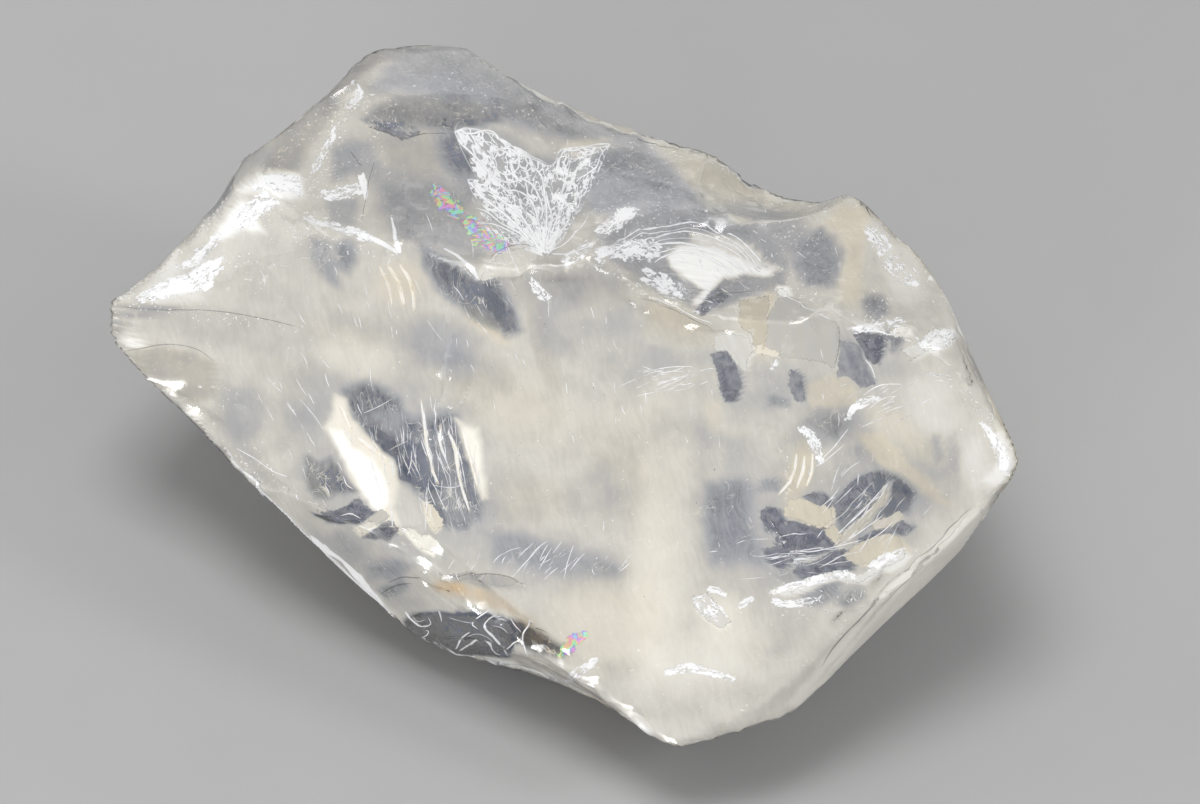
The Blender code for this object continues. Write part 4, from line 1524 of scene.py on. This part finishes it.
# Fields of hairlines in pixels of the frame: (across, down, spread across, spread down, turn,
# length, share of them).
HAIRLINES = read_places("""
    670,380,34,14,-14,34,0.07
    430,460,40,50,78,46,0.24
    540,560,70,16,-50,30,0.1
    860,510,40,34,-50,38,0.13
    800,560,50,24,-14,36,0.08
    890,400,40,24,-22,30,0.06
    945,375,22,6,6,24,0.03
    480,270,50,60,65,30,0.08
    360,290,60,40,75,24,0.06
    730,260,60,26,24,26,0.06
    300,440,50,60,62,30,0.07
    600,400,240,170,80,18,0.2
""")

# Curly cracks of the fan, the dark pocket, the windows and the broken facets, one path of (across,
# down, half width) to a line.
CURLY_CRACKS = """
    453,128,0.8 461,142,2 474,154,1.4 482,163,1.8 493,176,1.2 504,187,1.6 515,196,1
    453,128,0.8 471,131,1.6 485,127,1.2 493,130,1.6 502,140,1 516,145,1.4 532,152,1 552,158,1.2
    471,131,0.8 479,138,1.2 490,140,0.9 499,147,1.1 509,150,0.6
    492,152,0.8 500,146,1.3 511,147,1.5 518,154,1.3 517,166,1.6 508,172,1.3 498,169,1 492,160,0.9
    516,160,0.7 520,153,1.1 528,154,1.2 532,162,1 526,169,1.2 518,167,0.8
    486,162,0.6 496,176,1.6 510,180,1.4 524,176,1.1 534,170,0.8
    527,160,0.8 540,172,1.7 544,190,1.4 546,206,2 546,226,1.6 545,250,1.2
    515,174,0.9 532,183,1.8 538,194,1.5 542,206,1.2 541,220,0.9
    500,190,0.9 514,188,1.8 526,194,1.6 534,206,1.9 538,222,1.5 542,242,1.2
    554,185,0.7 565,197,1.3 570,210,1.1 565,224,1.4 555,236,1.2 546,248,1.4
    548,186,0.7 556,196,1.3 559,210,1 554,224,1.3 548,240,1.1
    471,181,0.8 477,191,2.2 490,202,1.9 504,213,2.3 516,224,1.9 527,236,2.2 538,248,1.7
    478,184,0.6 492,192,1.6 507,203,2 520,214,1.6 530,228,1.9 541,248,1.5
    470,206,0.5 485,210,1.3 499,221,1 516,230,1.6 532,244,1.4
    471,222,0.5 490,222,1.1 510,230,0.9 526,240,1.3 540,252,1
    556,145,0.8 572,147,1.3 590,142,1 610,141,1.3 602,150,0.9 596,164,1.4 582,174,1 570,182,1.2
    552,158,0.9 560,152,1.3 574,156,0.9 588,152,1.2 600,148,0.6
    552,158,0.9 556,168,1.2 568,166,1 578,172,0.8
    545,186,0.9 549,206,1.8 552,216,1.2 548,232,1.5 545,252,1.8
    545,250,1.8 562,244,1.3 578,226,1 590,208,0.6
    546,252,1.6 568,252,1.2 590,242,0.8 604,230,0.5
    402,613,1.6 410,622,1.6 420,629,1.3 429,627,1 425,617,0.6
    436,612,0.6 438,616,1.2 440,626,0.5
    493,615,0.7 477,621,1.2 471,627,1.2 478,632,0.7
    504,620,0.6 488,623,0.9 483,628,1.3 493,640,1.8 503,652,1.6 510,663,0.8
    470,634,0.6 460,642,1.8 454,653,1
    456,655,1.2 463,650,1.4 478,647,0.9 488,650,1.1 495,656,1 503,658,0.7
    530,620,1.1 527,632,1.2 521,642,1.1 523,650,0.9 528,662,0.6
    521,642,0.7 512,647,0.9 505,653,0.9
    422,633,0.8 427,634,1.1 425,638,0.9 420,640,0.7
    410,618,0.5 416,624,0.5 424,622,0.4
    430,640,0.4 437,648,0.6 440,652,0.4
    446,620,0.4 460,624,0.5 472,626,0.4
    464,641,0.4 476,637,0.6 488,641,0.5 494,648,0.4
    488,631,0.4 500,634,0.6 508,640,0.4
    508,622,0.4 516,632,0.6 520,640,0.4
    410,450,0.4 409,464,0.8 405,478,0.4
    396,455,0.3 398,466,0.6 400,478,0.3
    360,414,0.4 378,406,0.6 392,398,0.3
    354,402,0.4 357,410,0.7 360,416,0.3
    386,452,0.3 396,446,0.5 408,441,0.3
    416,498,0.4 424,504,0.7 432,502,0.3
    430,486,0.3 448,490,0.5 462,486,0.3
    340,476,0.5 345,486,1 352,490,0.4
    336,518,0.4 348,515,0.8 360,520,0.5
    296,398,0.3 312,416,0.7 322,432,0.3
    866,358,0.6 873,366,1.2 878,380,0.6
    852,428,0.5 836,448,0.9 822,462,0.5
    656,386,0.4 672,380,0.9 688,375,0.4
    640,373,0.4 670,367,0.8 698,366,0.5
    780,292,0.5 812,306,0.8 842,320,0.5
    646,292,0.4 680,306,0.9 704,316,0.8 722,324,0.4
    640,365,0.4 665,372,0.8 690,366,0.4
    652,392,0.4 672,384,0.7 694,372,0.4
    862,398,0.5 880,386,1.1 908,384,0.6
    870,410,0.4 888,398,0.9 900,396,0.4
    856,332,0.5 878,330,1.2 896,334,1 912,330,0.5
    836,540,0.5 850,526,1.1 868,508,1 892,482,0.4
    842,548,0.5 864,532,0.9 888,514,0.4
    776,556,0.4 810,554,0.8 840,548,1 870,540,0.4
    509,583,0.4 524,566,0.8 542,546,0.4
    563,586,0.4 567,566,0.8 574,546,0.4
    228,446,0.4 256,462,1 284,482,0.5
"""

# Thin grey seams along the edges of facets, in the same way as the cracks.
GREY_SEAMS = """
    988,500,0.6 947,539,1.1 900,583,1 863,620,1.1 832,654,0.9 818,679,0.4
    962,534,0.4 930,565,0.7 896,598,0.6 870,624,0.4
    976,516,0.4 950,545,0.6 925,566,0.4
    640,294,0.4 672,307,1 700,318,0.9 722,330,0.5
    843,322,0.5 841,346,0.9 836,370,0.5
    364,123,0.5 380,128,1.3 400,131,1.2 420,131,0.9 450,131,0.4
    372,155,0.4 366,180,0.7 358,222,0.4
    347,147,0.4 353,156,1 360,165,0.4
    106,305,0.4 150,309,0.9 200,309,0.8 260,318,0.8 310,330,0.4
    112,352,0.4 132,348,0.9 160,344,0.7 196,350,0.7 214,364,0.4
    384,586,0.4 400,580,1.3 420,582,0.6
    376,598,0.4 394,588,1.2 410,586,0.4
    486,258,0.5 500,248,0.9 524,243,0.6 540,248,0.3
    698,312,0.6 716,294,1.4 736,291,0.9 760,289,0.4
    436,582,0.4 464,578,0.9 500,578,0.9 524,588,0.5
    858,329,0.5 872,335,1.2 884,332,0.5
    768,512,0.4 778,528,1 792,546,1 804,560,0.5
"""


class CRYSTAL_OT_lines(Operator):
    """Make the curly cracks, the grey seams and the hairline scratches."""

    bl_idname = "crystal.lines"
    bl_label = "Hairlines and cracks"

    def execute(self, context):
        look = context.scene.crystal_fractures
        bright = plain_finish("crack_finish", tuple(look.white))
        strip_sheets("curly_cracks", self.strips(CURLY_CRACKS), bright, CRACK_DEPTH, columns=3)
        grey = plain_finish("seam_finish", tuple(look.seam), strength=0.45)
        strip_sheets("grey_seams", self.strips(GREY_SEAMS), grey, SEAM_DEPTH, columns=3)
        hair = plain_finish("hairline_finish", tuple(look.white))
        strip_sheets("hairlines", self.hairs(look.scratches), hair, HAIRLINE_DEPTH, columns=3)
        return {"FINISHED"}

    def strips(self, table):
        """Strips of full strength from a table with one path to a line."""
        return [(1.0, read_places(line)) for line in table.strip().splitlines()]

    def hairs(self, scratches):
        """Slightly bowed hairlines, thin at their ends, scattered over the fields."""
        draw = np.random.default_rng(5)
        paths = []
        for x, y, wide, high, turn, length, share in HAIRLINES:
            for _ in range(round(scratches * share)):
                place = np.array([x + wide * draw.normal() * 0.6, y + high * draw.normal() * 0.6])
                angle = math.radians(turn + draw.normal() * 9.0)
                half = length * draw.uniform(0.3, 1.0) / 2
                step = np.array([math.cos(angle), math.sin(angle)]) * half
                bow = np.array([-step[1], step[0]]) * draw.normal() * 0.08
                thick = draw.uniform(0.5, 0.95)
                ends = (place - step, place + bow, place + step)
                paths.append([(*end, width) for end, width in zip(ends, (0.2, thick, 0.2))])
        return [(draw.uniform(0.5, 1.0), path) for path in paths]


# Lines that bright flecks gather along, in pixels of the frame: (share, spread, path). The flecks are
# white chips and also painted sparkle.
FLECK_LINES = read_rows([
    (0.14, 9, "110,306 200,311 300,332"),
    (0.16, 10, "245,198 310,235 395,250"),
    (0.14, 9, "560,252 625,270 690,300 740,300 785,290 870,330 950,345"),
    (0.10, 8, "660,135 738,171 798,204 864,201"),
    (0.12, 12, "345,90 335,120 300,185"),
    (0.10, 22, "640,215 720,225 800,245"),
    (0.08, 8, "970,390 1005,440 1012,480"),
    (0.08, 14, "780,600 830,610 870,590"),
    (0.12, 24, "400,60 470,85 540,120 610,160 680,200"),
    (0.08, 24, "180,290 240,260 330,200 360,130"),
])

# The dark specks' middle and how far they are strewn from it, in pixels of the frame.
SPECKS_MIDDLE, SPECKS_SPREAD = (600, 420), (150, 90)


class CRYSTAL_OT_flecks(Operator):
    """Make the bright flecks along broken edges, white chips that also stand as painted sparkle, and a few
    dark specks.
    """

    bl_idname = "crystal.flecks"
    bl_label = "Flecks and specks"

    def execute(self, context):
        look = context.scene.crystal_fractures
        draw = np.random.default_rng(8)
        spots = []
        for share, spread, path in FLECK_LINES:
            count = round(look.flecks * share)
            along = along_path(path, draw.random(count))
            spots.append(along + draw.normal(size=(count, 2)) * spread * 0.6)
        white = plain_finish("fleck_and_sparkle_finish", tuple(look.white))
        self.chips("bright_flecks_and_sparkles", np.concatenate(spots), draw, 0.08, white)
        dark = plain_finish("speck_finish", tuple(look.speck), strength=0.7)
        strewn = draw.normal(size=(look.specks, 2)) * SPECKS_SPREAD + SPECKS_MIDDLE
        self.chips("dark_specks", strewn, draw, 0.05, dark)
        return {"FINISHED"}

    def chips(self, name, spots, draw, size, material):
        """Four-cornered chips of random tilt under the surface, about size mm from middle to corner."""
        count = len(spots)
        middle = under(spots[:, 0], spots[:, 1], FLECK_DEPTH + 0.05 * draw.random(count))
        first = unit(draw.normal(size=(count, 3)))
        second = unit(np.cross(first, draw.normal(size=(count, 3))))
        half = size * np.exp(draw.normal(size=(count, 2)) * 0.5)
        long, wide = first * half[:, :1], second * half[:, 1:] * 0.6
        corners = np.stack([middle - long, middle - wide, middle + long, middle + wide], 1)
        faces = np.arange(count * 4).reshape(-1, 4)
        values = {"fade": np.ones(count * 4)}
        make_mesh(name, corners.reshape(-1, 3), faces, material, values, smooth=False)


# The lamps: place in millimetres, side in millimetres and share of the main light's strength. All
# are turned to one place.
LAMPS_AIM = (0, 0, 12)
SOFTBOXES = {
    "top_softbox": ((-40, 20, 470), 200, 0.95),
    "left_softbox": ((-300, 150, 280), 210, 0.12),
    "right_softbox": ((380, -60, 240), 90, 0.40),
    "back_softbox": ((60, 430, 150), 160, 0.05),
    "front_softbox": ((-200, -380, 80), 150, 0.95),
}

# Half the floor's side, in metres, and the order of its corners.
FLOOR_HALF = 1.5
FLOOR_CORNERS = ((-1, -1), (1, -1), (1, 1), (-1, 1))


class CRYSTAL_OT_stage(Operator):
    """Make the floor, the lights and the camera."""

    bl_idname = "crystal.stage"
    bl_label = "Stage"

    def execute(self, context):
        look = context.scene.crystal_stage
        scene = context.scene
        self.floor(look)
        self.sky(scene, look)
        for name, (place, side, share) in SOFTBOXES.items():
            self.softbox(name, place, side, look.key * share)
        self.camera(scene)
        scene.view_settings.view_transform = "Standard"
        scene.cycles.max_bounces = 14
        scene.cycles.transmission_bounces = 9
        scene.cycles.diffuse_bounces = 7
        scene.cycles.transparent_max_bounces = 16
        return {"FINISHED"}

    def camera(self, scene):
        """The camera, at the photo's angle."""
        camera = bpy.data.objects.new("camera", bpy.data.cameras.new("camera"))
        camera.data.lens, camera.data.sensor_width = LENS, SENSOR
        camera.location = EYE * MM
        camera.rotation_euler = Vector(-BACK).to_track_quat("-Z", "Y").to_euler()
        scene.collection.objects.link(camera)
        scene.camera = camera

    def floor(self, look):
        """A level sheet under the chunk."""
        mesh = bpy.data.meshes.new("floor")
        corners = [(FLOOR_HALF * x, FLOOR_HALF * y, 0) for x, y in FLOOR_CORNERS]
        mesh.from_pydata(corners, [], [(0, 1, 2, 3)])
        paint = Recipe("floor_paint")
        mottle = paint.span(paint.noise(14.0, 5.0), 0.3, 0.7)
        pale = tuple(look.floor)
        colour = paint.blend(mottle, tuple(c * 0.98 for c in pale), pale)
        mesh.materials.append(paint.surface({"Base Color": colour}, Roughness=0.75))
        floor = bpy.data.objects.new("floor", mesh)
        bpy.context.scene.collection.objects.link(floor)

    def sky(self, scene, look):
        """Even light from all round."""
        world = bpy.data.worlds.new("sky")
        world.use_nodes = True
        scene.world = world
        background = world.node_tree.nodes["Background"]
        background.inputs["Color"].default_value = (1.0, 1.0, 1.0, 1.0)
        background.inputs["Strength"].default_value = look.sky

    def softbox(self, name, place, side, watts):
        """A square lamp of that side, in millimetres, turned towards the chunk."""
        lamp = bpy.data.lights.new(name, "AREA")
        lamp.shape = "SQUARE"
        lamp.size = side * MM
        lamp.energy = watts
        box = bpy.data.objects.new(name, lamp)
        box.location = Vector(place) * MM
        towards = Vector(LAMPS_AIM) - Vector(place)
        box.rotation_euler = towards.to_track_quat("-Z", "Y").to_euler()
        box.visible_camera = False
        bpy.context.scene.collection.objects.link(box)


class CRYSTAL_PT_pieces(Panel):
    """The chunk's pieces and settings."""

    bl_idname = "CRYSTAL_PT_pieces"
    bl_label = "Crystal chunk"
    bl_space_type = "VIEW_3D"
    bl_region_type = "UI"
    bl_category = "Crystal"

    def draw(self, context):
        for settings, operators in GROUPS:
            box = self.layout.box()
            look = getattr(context.scene, settings)
            for key in look.__annotations__:
                box.prop(look, key)
            for operator in operators:
                box.operator(operator.bl_idname)


LOOKS = {
    "crystal_skin": CrystalSkinLook,
    "crystal_clouds": CrystalCloudLook,
    "crystal_fractures": CrystalFractureLook,
    "crystal_stage": CrystalStageLook,
}
FRACTURE_OPERATORS = (
    CRYSTAL_OT_fractures,
    CRYSTAL_OT_glints,
    CRYSTAL_OT_films,
    CRYSTAL_OT_lines,
    CRYSTAL_OT_flecks,
)
GROUPS = (
    ("crystal_skin", (CRYSTAL_OT_skin,)),
    ("crystal_clouds", (CRYSTAL_OT_clouds,)),
    ("crystal_fractures", FRACTURE_OPERATORS),
    ("crystal_stage", (CRYSTAL_OT_stage,)),
)
CLASSES = (
    *LOOKS.values(),
    *(operator for _, operators in GROUPS for operator in operators),
    CRYSTAL_PT_pieces,
)


def register():
    for made in CLASSES:
        bpy.utils.register_class(made)
    for name, look in LOOKS.items():
        setattr(bpy.types.Scene, name, PointerProperty(type=look))


def unregister():
    for name in LOOKS:
        delattr(bpy.types.Scene, name)
    for made in reversed(CLASSES):
        bpy.utils.unregister_class(made)


def main():
    register()
    bpy.ops.crystal.skin()
    bpy.ops.crystal.clouds()
    bpy.ops.crystal.fractures()
    bpy.ops.crystal.glints()
    bpy.ops.crystal.films()
    bpy.ops.crystal.lines()
    bpy.ops.crystal.flecks()
    bpy.ops.crystal.stage()


if __name__ == "__main__":
    main()
